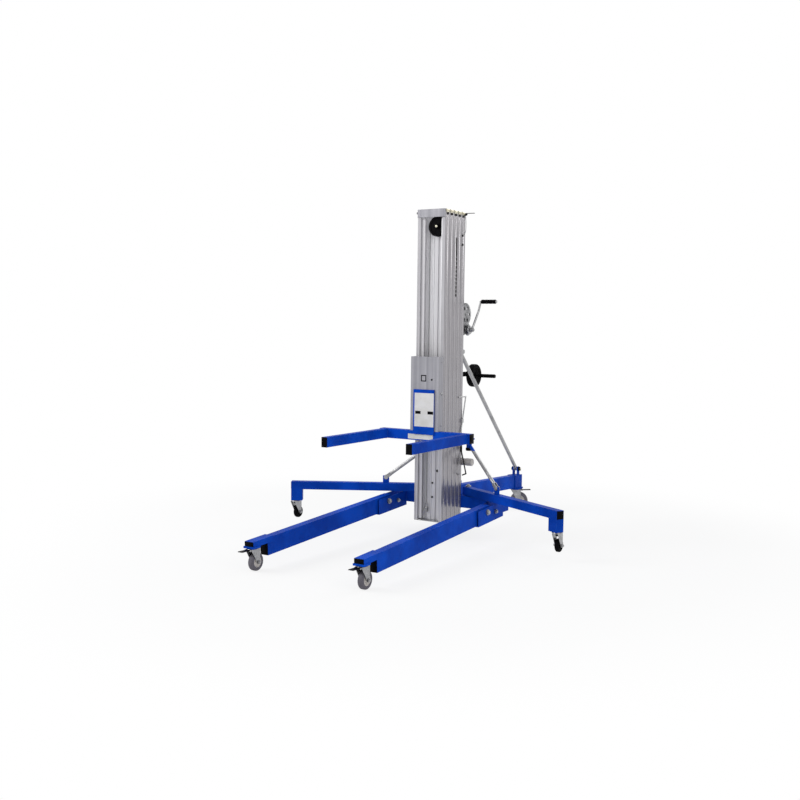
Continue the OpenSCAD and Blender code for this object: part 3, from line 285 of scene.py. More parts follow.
def passivate(spot, look):
    drift = spot.noise(60, 3)
    patch = spot.noise(25)
    grain = spot.noise(420, 2, 0.5)
    colour = drift.between(0.4, 0.65).tint(look["gold"], look["green"])
    return {"Base Color": patch.between(0.55, 0.75).tint(colour, look["rose"]),
            "Roughness": grain * 0.15 + patch * 0.1 + 0.2,
            "relief": (grain, 0.0001)}


finish("yellow_zinc", {"Metallic": 0.95}, passivate, passivateLook)
finish("pale_zinc", {"Metallic": 0.8}, passivate, paleLook)

ropeLook = {"strands": 6, "lay": 0.036, "wires": (150, 2600), "low": (0.075, 0.075, 0.08),
            "high": (0.46, 0.46, 0.47)}


def wireRope(spot, look):
    lie = spot.node("ShaderNodeUVMap", {"uv_map": "lay"})
    around, length = lie.along(0), lie.along(1)
    twist = tau * look["strands"]
    turn = around * twist + length * (twist / look["lay"])
    strand = turn.wave() * 0.5 + 0.5
    across, onward = look["wires"]
    wire = ((around * across - length * onward).wave() * 0.5 + 0.5) * strand
    grime = spot.noise(70)
    shade = strand * 0.75 + wire * 0.2 - grime * 0.15
    return {"Base Color": shade.tint(look["low"], look["high"]),
            "Roughness": 0.5 - strand * 0.15 + grime * 0.15,
            "relief": (strand * 0.8 + wire * 0.2, 0.0006)}


finish("rope", {"Metallic": 0.8}, wireRope, ropeLook)

plasticLook = {"deep": (0.001, 0.0008, 0.0014), "rubbed": (0.008, 0.0072, 0.0095),
               "dust": (0.03, 0.03, 0.035)}


def blackPlastic(spot, look):
    grain = spot.cells(1400)
    cloud = spot.noise(40)
    dust = spot.noise(120, 5, 0.7).between(0.58, 0.8)
    rubbed = (spot.worn() * spot.noise(90, 3)).between(0.35, 0.7)
    colour = (cloud * 0.3 + rubbed * 0.7).tint(look["deep"], look["rubbed"])
    return {"Base Color": (dust * 0.16).tint(colour, look["dust"]),
            "Roughness": 0.36 + cloud * 0.14 + dust * 0.2,
            "relief": (grain, 0.00012)}


finish("black_plastic", {"Specular IOR Level": 0.035}, blackPlastic, plasticLook)

powderLook = {"deep": (0.005, 0.005, 0.0058), "worn": (0.026, 0.026, 0.028), "steel": (0.16, 0.156, 0.152)}


def blackPowder(spot, look):
    pebble = spot.noise(900, 2, 0.5)
    cloud = spot.noise(20)
    bare = (spot.worn() * spot.noise(210, 4, 0.7)).between(0.56, 0.62)
    colour = cloud.between(0.45, 0.8).tint(look["deep"], look["worn"])
    return {"Base Color": bare.tint(colour, look["steel"]),
            "Roughness": 0.42 + pebble * 0.16,
            "relief": (pebble, 0.0002)}


finish("black_steel", {"Specular IOR Level": 0.12}, blackPowder, powderLook)

greyLook = {"low": (0.082, 0.077, 0.092), "high": (0.155, 0.147, 0.172), "dust": (0.21, 0.203, 0.215),
            "dusty": 0.45}
blackLook = {"low": (0.001, 0.0009, 0.0013), "high": (0.0035, 0.0032, 0.004),
             "dust": (0.012, 0.0115, 0.013), "dusty": 0.15}


def tyreRubber(spot, look):
    grain = spot.noise(750, 3)
    cloud = spot.noise(32)
    scuff = spot.stretch((170, 60, 60)).noise(1, 4, 0.7).between(0.52, 0.74)
    colour = (cloud * 0.6 + grain * 0.4).tint(look["low"], look["high"])
    return {"Base Color": (scuff * look["dusty"]).tint(colour, look["dust"]),
            "Roughness": 0.62 + scuff * 0.2 + grain * 0.08,
            "relief": (grain * 0.7 + scuff * 0.3, 0.00025)}


finish("grey_rubber", {"Specular IOR Level": 0.15}, tyreRubber, greyLook)
finish("black_rubber", {"Specular IOR Level": 0.03}, tyreRubber, blackLook)

nylonLook = {"low": (0.44, 0.415, 0.39), "high": (0.62, 0.59, 0.56), "grime": (0.27, 0.245, 0.22)}


def greyNylon(spot, look):
    grain = spot.noise(600, 2, 0.5)
    cloud = spot.noise(22)
    grime = spot.noise(45, 5, 0.7).between(0.55, 0.8)
    colour = cloud.between(0.3, 0.7).tint(look["low"], look["high"])
    return {"Base Color": (grime * 0.3).tint(colour, look["grime"]),
            "Roughness": 0.4 + grain * 0.12 + grime * 0.2,
            "relief": (grain, 0.0001)}


finish("grey_plastic", {"Specular IOR Level": 0.4}, greyNylon, nylonLook)

stickerLook = {"white": (0.66, 0.655, 0.645), "aged": (0.55, 0.535, 0.5), "smudge": (0.36, 0.35, 0.35)}


def blankSticker(spot, look):
    fade = spot.noise(9)
    smudge = spot.stretch((40, 40, 130)).noise(1, 5, 0.7).between(0.58, 0.8)
    grain = spot.noise(500, 2, 0.5)
    colour = fade.between(0.35, 0.7).tint(look["white"], look["aged"])
    return {"Base Color": (smudge * 0.3 + spot.worn() * 0.25).tint(colour, look["smudge"]),
            "Roughness": 0.34 + smudge * 0.2,
            "relief": (grain, 0.00006)}


finish("sticker", {}, blankSticker, stickerLook)

weldLook = {"low": (0.0034, 0.036, 0.27), "high": (0.0064, 0.062, 0.42), "flux": (0.015, 0.05, 0.2)}


def paintedWeld(spot, look):
    bead = spot.noise(260, 4, 0.65)
    flux = spot.noise(90).between(0.6, 0.75)
    colour = bead.tint(look["low"], look["high"])
    return {"Base Color": (flux * 0.5).tint(colour, look["flux"]),
            "Roughness": 0.34 + bead * 0.15,
            "relief": (bead, 0.0005)}


finish("weld", {"Coat Weight": 0.04, "Coat Roughness": 0.15, "Specular IOR Level": 0.08},
       paintedWeld, weldLook)

strutLook = {"split": (0.526, 0.5262)}


def strutTube(spot, look):
    top = spot.along(2).between(*look["split"])  # the hinge barrel at the top is painted blue
    grain = spot.noise(380, 3)
    cloud = spot.noise(17)
    steel = (grain * 0.3 + cloud * 0.7).ramp((0.3, tubeLook["dull"]), (0.6, tubeLook["bright"]))
    blue = cloud.between(0.3, 0.7).tint(paintLook["deep"], paintLook["bright"])
    return {"Base Color": top.tint(steel, blue),
            "Roughness": grain * 0.12 + 0.2 + top * 0.1,
            "Metallic": 0.6 - top * 0.6,
            "Coat Weight": top * 0.04,
            "relief": (grain, 0.00012)}


finish("strut", {"Coat Roughness": 0.12, "Specular IOR Level": 0.1}, strutTube, strutLook)
print("finishes made:", len(finishes))


def boxOf(node):
    # low corner, high corner and middle of a node's box, in millimetres
    low, high = (corner * 1000 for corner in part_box(node))
    return low, high, (low + high) / 2


def settle(name, bm, body, finishName, replaced=(), angle=35):
    mesh = bpy.data.meshes.new(name)
    bm.to_mesh(mesh)
    bm.free()
    mesh.shade_smooth()
    mesh.set_sharp_from_angle(angle=radians(angle))
    piece = place(name, mesh)
    mesh.materials.append(finishes[finishName])
    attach(piece, body)
    if replaced:
        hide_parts(*replaced)
    return piece


def addPiece(name, bm, body, finishName, replaced=(), angle=35):
    # pieces are drawn in millimetres and brought to metres here
    bm.transform(Matrix.Scale(0.001, 4))
    bmesh.ops.recalc_face_normals(bm, faces=bm.faces)
    settle(name, bm, body, finishName, replaced, angle)


def roundOff(bm, edges, width, steps):
    return bmesh.ops.bevel(bm, geom=edges, offset=width, offset_type="OFFSET", segments=steps,
                           profile=0.5, affect="EDGES", clamp_overlap=True)


edgeRule = {"weld": 2e-6, "flat": radians(0.4), "sharp": radians(28), "smooth": 40}


def easeEdges(node, finishName, width, steps=2, longest=6):
    # a copy of the frame's solid with its outer edges rounded as bent or rolled metal has them
    width *= 0.001
    bm = bmesh.new()
    bm.from_mesh(nodes[node].data)
    bmesh.ops.remove_doubles(bm, verts=bm.verts, dist=edgeRule["weld"])
    bmesh.ops.dissolve_limit(bm, angle_limit=edgeRule["flat"], verts=bm.verts, edges=bm.edges)
    bm.normal_update()
    sharp = [e for e in bm.edges if e.is_manifold and e.is_convex
             and e.calc_face_angle(0) > edgeRule["sharp"] and e.calc_length() > longest * width]
    edgeMark = bm.loops.layers.float.new("edge")
    for face in roundOff(bm, sharp, width, steps)["faces"]:
        for loop in face.loops:
            loop[edgeMark] = 1.0
    piece = settle(node + "Eased", bm, bodyOf[node], finishName, (node,), edgeRule["smooth"])
    piece.modifiers.new("flatFaces", "WEIGHTED_NORMAL").keep_sharp = True


def turnTo(axis):
    return Vector((0, 0, 1)).rotation_difference(Vector(axis)).to_matrix()


def circle(steps):
    return [(cos(tau * i / steps), sin(tau * i / steps)) for i in range(steps)]


def lathe(bm, profile, at, axis, steps=40, closed=False):
    # profile holds (radius, height) pairs; a radius of 0 closes to a point
    at, turn, rings = Vector(at), turnTo(axis), []
    for r, height in profile:
        spots = circle(steps) if r else [(0, 0)]
        rings.append([bm.verts.new(at + turn @ Vector((r * c, r * s, height))) for c, s in spots])
    pairs = list(zip(rings, rings[1:])) + ([(rings[-1], rings[0])] if closed else [])
    for low, high in pairs:
        for i in range(steps):
            k = (i + 1) % steps
            ring = [low[i % len(low)], low[k % len(low)], high[k % len(high)], high[i % len(high)]]
            corners = [v for j, v in enumerate(ring) if v not in ring[:j]]
            if len(corners) > 2:
                bm.faces.new(corners)


def mirrored(profile):
    # the far half of a turned profile, from the near half
    return [(radius, -height) for radius, height in reversed(profile)]


def tube(bm, points, radius, facets=12, lay=None):
    # swept rod; with lay, the turn and the length in metres go to a UV map for the rope's strands
    points = [Vector(p) for p in points]
    across = (points[1] - points[0]).normalized().orthogonal().normalized()
    rings, reach, run = [], [], 0.0
    for i, p in enumerate(points):
        new = (points[min(i + 1, len(points) - 1)] - points[max(i - 1, 0)]).normalized()
        across = (across - new * across.dot(new)).normalized()
        side = new.cross(across)
        thick = radius[i] if isinstance(radius, list) else radius
        rings.append([bm.verts.new(p + across * thick * c + side * thick * s) for c, s in circle(facets)])
        run += (p - points[max(i - 1, 0)]).length
        reach.append(run * 0.001)
    for i in range(len(rings) - 1):
        for k in range(facets):
            n = (k + 1) % facets
            face = bm.faces.new((rings[i][k], rings[i][n], rings[i + 1][n], rings[i + 1][k]))
            if lay:
                spots = ((k, i), (k + 1, i), (k + 1, i + 1), (k, i + 1))
                for loop, (u, v) in zip(face.loops, spots):
                    loop[lay].uv = (u / facets, reach[v])
    bm.faces.new(list(reversed(rings[0])))
    bm.faces.new(rings[-1])


def block(bm, low, high, rounding=0, steps=2, turn=None):
    low, high = Vector(low), Vector(high)
    shape = Matrix.Translation((low + high) / 2) @ Matrix.Diagonal((*(high - low), 1))
    made = bmesh.ops.create_cube(bm, size=1.0, matrix=(turn or Matrix.Identity(4)) @ shape)
    if rounding:
        roundOff(bm, list({e for v in made["verts"] for e in v.link_edges}), rounding, steps)


def addSpokes(bm, at, axis, count, reach, half, level, thick, rounding):
    # bars on both faces of a wheel; thick says how far they run below and above the level
    turn = Matrix.Translation(at) @ turnTo(axis).to_4x4()
    for k in range(count):
        spin = turn @ Matrix.Rotation(tau * k / count, 4, "Z")
        for face in (-level, level):
            block(bm, (reach[0], -half, face - thick[0]), (reach[1], half, face + thick[1]),
                  rounding, 1, spin)


def hexBolt(bm, at, axis, flats, height, washer=None):
    r, at, up = flats / sqrt(3), Vector(at), Vector(axis).normalized()
    if washer:
        wide, thick = washer
        lathe(bm, ((0, 0), (wide, 0), (wide, thick * 0.7), (wide * 0.94, thick), (0, thick)), at, up, 24)
        at = at + up * thick
    lathe(bm, ((0, 0), (r, 0), (r, height * 0.78), (r * 0.88, height), (r * 0.5, height),
               (r * 0.46, height * 0.94), (0, height * 0.94)), at, up, 6)


def domeScrew(bm, at, axis, r, height):
    lathe(bm, ((r, 0), (r, height * 0.25), (r * 0.86, height * 0.66), (r * 0.5, height * 0.95),
               (r * 0.34, height), (r * 0.3, height * 0.45), (0, height * 0.45)), at, axis, 20)


beadShape = {"step": 2.2, "fewest": 6, "end": 0.45, "low": 0.86, "swell": 0.22, "facets": 7}


def weldBead(bm, start, end, radius):
    # a stack of small half-moons, as a hand weld leaves
    start, end = Vector(start), Vector(end)
    count = max(beadShape["fewest"], int((end - start).length / beadShape["step"]))
    points = [start.lerp(end, i / count) for i in range(count + 1)]
    swell = [radius * (beadShape["low"] + beadShape["swell"] * (i % 2)) for i in range(count + 1)]
    swell[0] = swell[-1] = radius * beadShape["end"]
    tube(bm, points, swell, beadShape["facets"])


def arc(middle, radius, first, last, steps):
    angles = [radians(first + (last - first) * i / steps) for i in range(steps + 1)]
    return [(middle[0] + radius * cos(a), middle[1] + radius * sin(a)) for a in angles]


def dress(finishName, *names):
    for name in names:
        node = nodes[name]
        if not node.material_slots:
            node.data.materials.append(None)
        for slot in node.material_slots:
            slot.material = finishes[finishName]


# metal kept as the frame has it gets its finish here
dress("zinc_steel", "base_pins", "drum", "drum_gear", "pinion")
dress("tube_zinc", "rear_brace", "crank", "lock_rod")
dress("strut", "strut_right", "strut_left")
dress("yellow_zinc", "top_pulley")
dress("black_steel", "hook_rod")

# width of the rounding; a name that ends in _ stands for the right and the left node
easedEdge = {
    "aluminium": {"base_column": 0.7, "column_2": 0.7, "column_3": 0.7, "column_4": 0.7, "column_5": 0.7},
    "carriage_aluminium": {"carriage": 0.8, "crossplate": 1.2},
    "blue_paint": {"fork_holder": 1.5, "fork_crossbar": 3, "fork_arm_": 3, "back_plate": 1.2,
                   "cross_beam": 2.6, "knuckle_": 1.6, "upper_ears": 1.2, "leg_": 1.9, "outrigger_": 2,
                   "rear_arm": 3, "rear_bracket": 1.6, "brace_mount": 1.2},
    "zinc_steel": {"mast_foot": 1, "winch_frame": 0.9, "front_yoke_": 0.8, "rear_yoke": 0.8,
                   "side_yoke_": 0.8},
    "black_steel": {"loading_arm": 1.5},
    "black_plastic": {"fork_plugs": 1.3},
}
wideEdge = 1.8
for finishName, widths in easedEdge.items():
    for node, width in widths.items():
        for end in ("right", "left") if node.endswith("_") else ("",):
            easeEdges(node + end, finishName, width, 3 if width > wideEdge else 2)
print("edges eased in", len(easedEdge), "finishes")

ropeRun = {"radius": 2.7, "facets": 10, "sheave": (28, 29.2, 1888), "bend": 53.8, "foot": 165,
           "pulley": (0, 281.7, 1948), "over": 24.8, "drum": 1370, "end": 227.5}
ropeClamp = {"foot": 160, "half": 7, "front": -6, "tall": 30, "bolts": (8, 22)}


def ropePiece(name, body, points, node, radius):
    bm = bmesh.new()
    tube(bm, points, radius, ropeRun["facets"], bm.loops.layers.uv.new("lay"))
    addPiece(name, bm, body, "rope", (node,), 60)


def addClamps(c, ends, y):
    # a pressed sleeve and a two-bolt clip at each end of the front rope
    bm = bmesh.new()
    back = boxOf("front_rope")[1].y
    foot, half, front, top = c["foot"], c["half"], y + c["front"], c["foot"] + c["tall"]
    for x in ends:
        block(bm, (x - half, front, foot), (x + half, back, top), 1.5)
        for lift in c["bolts"]:
            hexBolt(bm, (x, front, foot + lift), (0, -1, 0), 7, 3.5, (5.5, 1))
        lathe(bm, ((0, 0), (5.2, 0), (5.8, 2), (5.8, 22), (4.8, 26), (0, 26)), (x, y, top), (0, 0, 1), 16)
    addPiece("ropeClamps", bm, "stage_5", "zinc_steel")


def addRopes(r):
    x, y, z = r["sheave"]
    left, right, foot = x - r["bend"], x + r["bend"], r["foot"]
    over = [(left, y, foot + (z - foot) * i / 20) for i in range(20)]
    over += [(s, y, t) for s, t in arc((x, z), r["bend"], 180, 0, 28)]
    over += [(right, y, z - (z - foot) * i / 20) for i in range(1, 21)]
    ropePiece("frontRopeLaid", "stage_5", over, "front_rope", r["radius"])
    addClamps(ropeClamp, (left, right), y)
    x, y, z = r["pulley"]
    hoist = [(x, y + r["over"], r["drum"] + (z - r["drum"]) * i / 16) for i in range(16)]
    hoist += [(x, s, t) for s, t in arc((y, z), r["over"], 0, 90, 12)]
    hoist += [(x, y + (r["end"] - y) * i / 6, z + r["over"]) for i in range(1, 7)]
    ropePiece("hoistRopeLaid", "base", hoist, "hoist_rope", r["radius"])


addRopes(ropeRun)

drumWind = {"loops": 13, "pitch": 5.6, "rope": 2.75, "steps": 40}


def addWinding(d):
    low, high, middle = boxOf("drum_rope")
    coil = (high.z - low.z) / 2 - d["rope"]
    points = []
    for i in range(d["loops"] * d["steps"] + 1):
        turn = tau * i / d["steps"]
        x = d["pitch"] * (i / d["steps"] - d["loops"] / 2)
        points.append(middle + Vector((x, -coil * cos(turn), coil * sin(turn))))
    ropePiece("drumRopeLaid", "winding", points, "drum_rope", d["rope"])


addWinding(drumWind)
print("ropes laid")

rearTurn = radians(-59)
frontCaster = {"wheel": 48, "half": 16, "hub": 0.6, "spokes": 5, "axis": (1, 0, 0), "pad": 26,
               "swivel": (344, -1242.37, 126), "axle": (344, -1212.37, 48),
               "tread": "grey_rubber", "core": "grey_plastic"}
sideCaster = {**frontCaster, "wheel": 37.5, "half": 13, "pad": 23, "swivel": (901.4, -136.31, 170),
              "axle": (901.4, -106.31, 90.5), "tread": "black_rubber", "core": "black_plastic"}
rearCaster = {**frontCaster, "wheel": 62, "half": 17, "hub": 0.62, "spokes": 6, "pad": 27,
              "axis": (cos(rearTurn), sin(rearTurn), 0), "swivel": (0, 1249.5, 146),
              "axle": (25.71501, 1264.95123, 61.99999)}
wheelShape = {"shoulder": 8.5, "boss": 14, "bore": 5.2, "dish": 5.5, "proud": 1.2}


def addWheel(node, caster):
    at, axis, radius, half = boxOf(node)[2], caster["axis"], caster["wheel"], caster["half"]
    rim = radius * caster["hub"]
    shoulder, boss, bore, dish, proud = wheelShape.values()
    tyre, hub = bmesh.new(), bmesh.new()
    near = [(rim, 3.5 - half), (rim + 2, 1.2 - half), (radius - shoulder, -half)]
    near += arc((radius - shoulder, shoulder - half), shoulder, -90, -14, 6)[1:]
    near += [(radius - 0.1, -half * 0.3)]
    lathe(tyre, near + [(radius, 0)] + mirrored(near), at, axis, 64, True)
    addPiece(node + "Tyre", tyre, bodyOf[node], caster["tread"], (node,), 40)
    face, end = half - dish, half + proud
    near = [(boss, -end), (boss + 1, 1 - half), (boss + 1.5, -face), (rim - 4, -face),
            (rim - 1.5, 1.8 - half), (rim + 0.4, 2.2 - half)]
    lathe(hub, near + mirrored(near) + [(bore, end), (bore, -end)], at, axis, 64, True)
    addSpokes(hub, at, axis, caster["spokes"], (boss - 1, rim - 3), 2.2, face + 1.2, (1.4, 1.4), 0.7)
    addPiece(node + "Hub", hub, bodyOf[node], caster["core"], (), 40)


for side, sign in sides:
    addWheel("front_wheel_" + side, frontCaster)
    addWheel("side_wheel_" + side, sideCaster)
addWheel("rear_wheel", rearCaster)

casterTrim = {"race": 23, "raceDrop": 7.5, "kingNut": (14, 17), "nutDrop": 4.3}
pedalEdge = {"width": 0.9, "longest": 4}


def trimCaster(node, caster, sign=1):
    # pressed ball race round the swivel, king nut, and a hex on each end of the axle
    bm, nut = bmesh.new(), bmesh.new()
    x, y, top = caster["swivel"]
    race = casterTrim["race"]
    lathe(bm, [(race + 0.5, 0), (race + 4.5, 0.8), (race + 6, 3), (race + 4.5, 5.2), (race + 0.5, 6)],
          (sign * x, y, top - casterTrim["raceDrop"]), (0, 0, 1), 40, True)
    across, along, up = caster["axle"]
    for end in (-1, 1):
        out = Vector(caster["axis"]) * end
        hexBolt(bm, Vector((sign * across, along, up)) + out * caster["pad"], out, 13, 5.5, (9.5, 1.2))
    addPiece(node + "Race", bm, bodyOf[node], "zinc_steel")
    wide, tall = casterTrim["kingNut"]
    hexBolt(nut, (sign * x, y, top - casterTrim["nutDrop"]), (0, 0, -1), wide, tall, (wide * 0.7, 2))
    addPiece(node + "KingNut", nut, bodyOf[node], "black_steel")


for side, sign in sides:
    trimCaster("front_yoke_" + side, frontCaster, sign)
    trimCaster("side_yoke_" + side, sideCaster, sign)
    easeEdges("front_pedal_" + side, "black_plastic", **pedalEdge)
trimCaster("rear_yoke", rearCaster)
easeEdges("rear_pedal", "black_plastic", **pedalEdge)
print("casters dressed")

sheavePiece = {"radius": 60, "groove": 6, "dish": 3, "windows": 6}


def addSheave(s):
    low, high, at = boxOf("front_sheave")
    half, radius = (high.y - low.y) / 2, s["radius"]
    deep, dish = radius - s["groove"], half - s["dish"]
    disc, pin, washer = bmesh.new(), bmesh.new(), bmesh.new()
    near = [(6, -half), (15, -half), (16.5, -dish), (radius * 0.74, -dish), (radius * 0.78, -half),
            (radius - 1, -half), (radius, 1.2 - half), (deep + 1, -2)]
    lathe(disc, near + [(deep, 0)] + mirrored(near), at, (0, 1, 0), 72, True)
    addSpokes(disc, at, (0, 1, 0), s["windows"], (15.5, radius * 0.75), 2.2, dish + 0.8, (1, 1), 0.5)
    addPiece("sheaveDisc", disc, "sheave", "black_plastic", ("front_sheave",), 30)
    domeScrew(pin, at - Vector((0, half + 12, 0)), (0, -1, 0), 7.8, 4.2)
    addPiece("sheavePin", pin, "stage_5", "pale_zinc")
    # collar over the pin's head, and the boss that carries the end screw
    lathe(washer, [(0, 0), (15.2, 0), (15.5, 3.5), (14.5, 5.6), (9.8, 6), (9.4, 11.2), (8.6, 12.2),
                   (0, 12.2)], at - Vector((0, half + 0.2, 0)), (0, -1, 0), 36)
    addPiece("sheaveWasher", washer, "stage_5", "black_plastic")


addSheave(sheavePiece)

gripShape = {"radius": 13.5, "bore": 6.3, "steps": 24, "waves": 3}


def addGrip(g):
    low, high, middle = boxOf("crank_grip")
    length, r, bore = high.x - low.x, g["radius"], g["bore"]
    bm = bmesh.new()
    profile = [(bore, 0), (r * 0.86, 0), (r * 0.97, 2), (r, 5)]
    for i in range(g["steps"] + 1):
        t = i / g["steps"]
        swell = 0.93 + 0.07 * abs(cos(g["waves"] * pi * t))
        profile.append((r * swell, 7 + (length - 16) * t))
    profile += [(r * 0.98, length - 4), (r * 0.86, length - 1), (r * 0.7, length), (bore, length)]
    lathe(bm, profile, (low.x, middle.y, middle.z), (1, 0, 0), 36, True)
    addPiece("crankGripMoulded", bm, "grip", "black_plastic", ("crank_grip",), 50)


addGrip(gripShape)

loadWheel = {"radius": 75, "half": 22.5, "round": 11, "spokes": 6}


def addLoadWheel(w):
    at, r, half, ease = boxOf("loading_wheel")[2], w["radius"], w["half"], w["round"]
    bm = bmesh.new()
    near = [(r * 0.62, 4 - half), (r * 0.66, -half), (r - ease, -half)]
    near += arc((r - ease, ease - half), ease, -90, -10, 6)[1:]
    hub = [(19, half - 6), (17, half), (6.2, half)]
    lathe(bm, near + [(r, 0)] + mirrored(near) + hub + mirrored(hub), at, (1, 0, 0), 64, True)
    addSpokes(bm, at, (1, 0, 0), w["spokes"], (17.5, r * 0.63), 3, half - 5.5, (1.5, 2.5), 0.8)
    addPiece("loadWheelTyre", bm, "loader", "black_rubber", ("loading_wheel",), 35)


addLoadWheel(loadWheel)

canisterShape = {"radius": 22, "cap": 40, "axis": (277.5, 452), "grooves": 8, "groove": 4}
canisterClip = {"along": (0.2, 0.62), "half": 7, "gap": 1.5, "sheet": 0.9, "lap": 0.6, "wrap": (-150, 150),
                "steps": 18, "mast": 249.5, "foot": 16}


def addCanister(c):
    low, high = boxOf("canister")[:2]
    y, z = c["axis"]
    length, r = high.x - low.x, c["radius"]
    seam = length - c["cap"]
    bm = bmesh.new()
    profile = [(0, 0), (r * 0.8, 0), (r * 0.95, 1.5), (r, 5), (r, seam), (r + 0.8, seam), (r + 1.4, seam + 1)]
    for i in range(c["grooves"]):
        lift = seam + i * c["groove"]
        profile += [(r + 1.4, lift + 3), (r + 0.6, lift + 5)]
    profile += [(r + 1.2, length - 3), (r * 0.96, length - 0.6), (r * 0.7, length), (r * 0.66, length - 1.5),
                (0, length - 1.5)]
    lathe(bm, profile, (low.x, y, z), (1, 0, 0), 40)
    addPiece("canisterTube", bm, "base", "grey_plastic", ("canister",), 30)
    addClips(canisterClip, [low.x + length * t for t in canisterClip["along"]], y, z, r)


def addClips(c, spots, y, z, r):
    # sprung clips that hold the canister to the mast
    bm = bmesh.new()
    half, sheet, lap, foot = c["half"], c["sheet"], c["lap"], c["foot"]
    points = arc((y, z), r + c["gap"], *c["wrap"], c["steps"])
    for x in spots:
        for (ya, za), (yb, zb) in zip(points, points[1:]):
            turn = Matrix.Rotation(-atan2(yb - ya, zb - za), 4, "X")
            block(bm, (-half, -sheet, -lap), (half, sheet, hypot(yb - ya, zb - za) + lap), 0, 1,
                  Matrix.Translation((x, ya, za)) @ turn)
        block(bm, (x - half, c["mast"], z - foot), (x + half, y - r * 0.75, z + foot), 1)
    addPiece("canisterClips", bm, "base", "zinc_steel")


addCanister(canisterShape)
print("turned pieces made")

legPlug = {"pivot": (344, 40, 198), "slope": 3.1714, "lip": 4, "ribs": (8, 18), "ribHalf": 21}
saddlePlug = {"half": 29, "low": 6, "high": 37, "front": -1306, "edge": 1, "wall": 5.5, "roof": 5.5,
              "deep": 22}
tubePlug = {"half": 25, "low": -63, "high": 6, "front": -1184, "edge": 0.5, "wall": 5, "roof": 2,
            "deep": 20}


def addPlug(bm, turn, half, low, high, front, edge, wall, roof, deep):
    face = front - legPlug["lip"]
    block(bm, (edge - half, face, low + edge), (half - edge, front, high - edge), 1.6, 2, turn)
    block(bm, (wall - half, front, low + wall), (half - wall, front + deep, high - roof), 1, 1, turn)


def addLegPlugs(p):
    x, y, z = p["pivot"]
    wide, face = p["ribHalf"], saddlePlug["front"] - p["lip"]
    for side, sign in sides:
        bm = bmesh.new()
        turn = Matrix.Translation((sign * x, y, z)) @ Matrix.Rotation(radians(p["slope"]), 4, "X")
        addPlug(bm, turn, **saddlePlug)
        for rib in p["ribs"]:  # grip ribs moulded on the plug's face
            foot = saddlePlug["low"] + rib
            block(bm, (-wide, face - 0.8, foot), (wide, face + 1, foot + 3), 0.6, 1, turn)
        addPlug(bm, turn, **tubePlug)
        addPiece("legPlugs_" + side, bm, "leg_%s_body" % side, "black_plastic")


addLegPlugs(legPlug)

outriggerCap = {"pivot": (122, 297.5), "sweep": 29.1, "half": 25, "low": 242.3, "high": 292.3,
                "plugs": ((916.7, 918.2, 2.6, 0.6, 2), (899, 917, 4, 1, 1), (-29.5, -26, 1, 1.5, 2)),
                "boot": ((17.3, 522), (19, 522), (21, 525), (21, 537), (18, 541), (17.3, 541))}


def addOutriggerCaps(c):
    # plugs in both ends of the tube, and a boot round the foot of the hinge barrel
    x, y = c["pivot"]
    for side, sign in sides:
        bm = bmesh.new()
        angle = -c["sweep"] if sign > 0 else 180 + c["sweep"]
        turn = Matrix.Translation((sign * x, y, 0)) @ Matrix.Rotation(radians(angle), 4, "Z")
        for start, end, inset, *rounding in c["plugs"]:
            half, low, high = c["half"] - inset, c["low"] + inset, c["high"] - inset
            block(bm, (start, -half, low), (end, half, high), *rounding, turn)
        lathe(bm, c["boot"], (sign * x, y, 0), (0, 0, 1), 36, True)
        addPiece("outriggerCaps_" + side, bm, "outrigger_%s_body" % side, "black_plastic")


addOutriggerCaps(outriggerCap)
print("end plugs fitted")

mast = {"side": 95, "top": 1990}
columns = {"base": 200, "stage_2": 150, "stage_3": 100, "stage_4": 50, "stage_5": 0}
stopTrim = {"plate": (6, 44, 21, 0.5), "thick": 2.5, "bolts": (14, 35), "boltDrop": 9,
            "roller": 24, "rollerDrop": 27}


def skin(sign, low, high):
    # the two faces of a sheet on the mast's side, in order along x
    return sorted((sign * (mast["side"] + low), sign * (mast["side"] + high)))


def addStops(s):
    # each column carries a stop plate near its top on both sides, over a dark roller
    top = mast["top"]
    front, back, low, high = s["plate"]
    for body, y in columns.items():
        plates, rollers = bmesh.new(), bmesh.new()
        for sign in (-1, 1):
            near, far = skin(sign, 0, s["thick"])
            block(plates, (near, y + front, top - low), (far, y + back, top - high), 0.8)
            for along in s["bolts"]:
                spot = (sign * (mast["side"] + s["thick"]), y + along, top - s["boltDrop"])
                hexBolt(plates, spot, (sign, 0, 0), 8, 4, (6, 1))
            lathe(rollers, ((0, 0), (7.2, 0), (8, 1.2), (8, 4.2), (7.2, 5.5), (3, 5.5), (2.6, 4.5), (0, 4.5)),
                  (sign * mast["side"], y + s["roller"], top - s["rollerDrop"]), (sign, 0, 0), 28)
        addPiece("stopPlates_" + body, plates, body, "pale_zinc")
        addPiece("stopRollers_" + body, rollers, body, "black_plastic")


addStops(stopTrim)

mastRib = {"along": (20, 30), "skin": (-0.5, 1.4), "low": 120, "high": 1938,
           "lips": ((-90.5, -50), (62, 90.5)), "lipDepth": (11, 13.2),
           "beads": (-56, -5.7), "half": 3, "beadDepth": (41.5, 45.5), "beadTop": 1826}


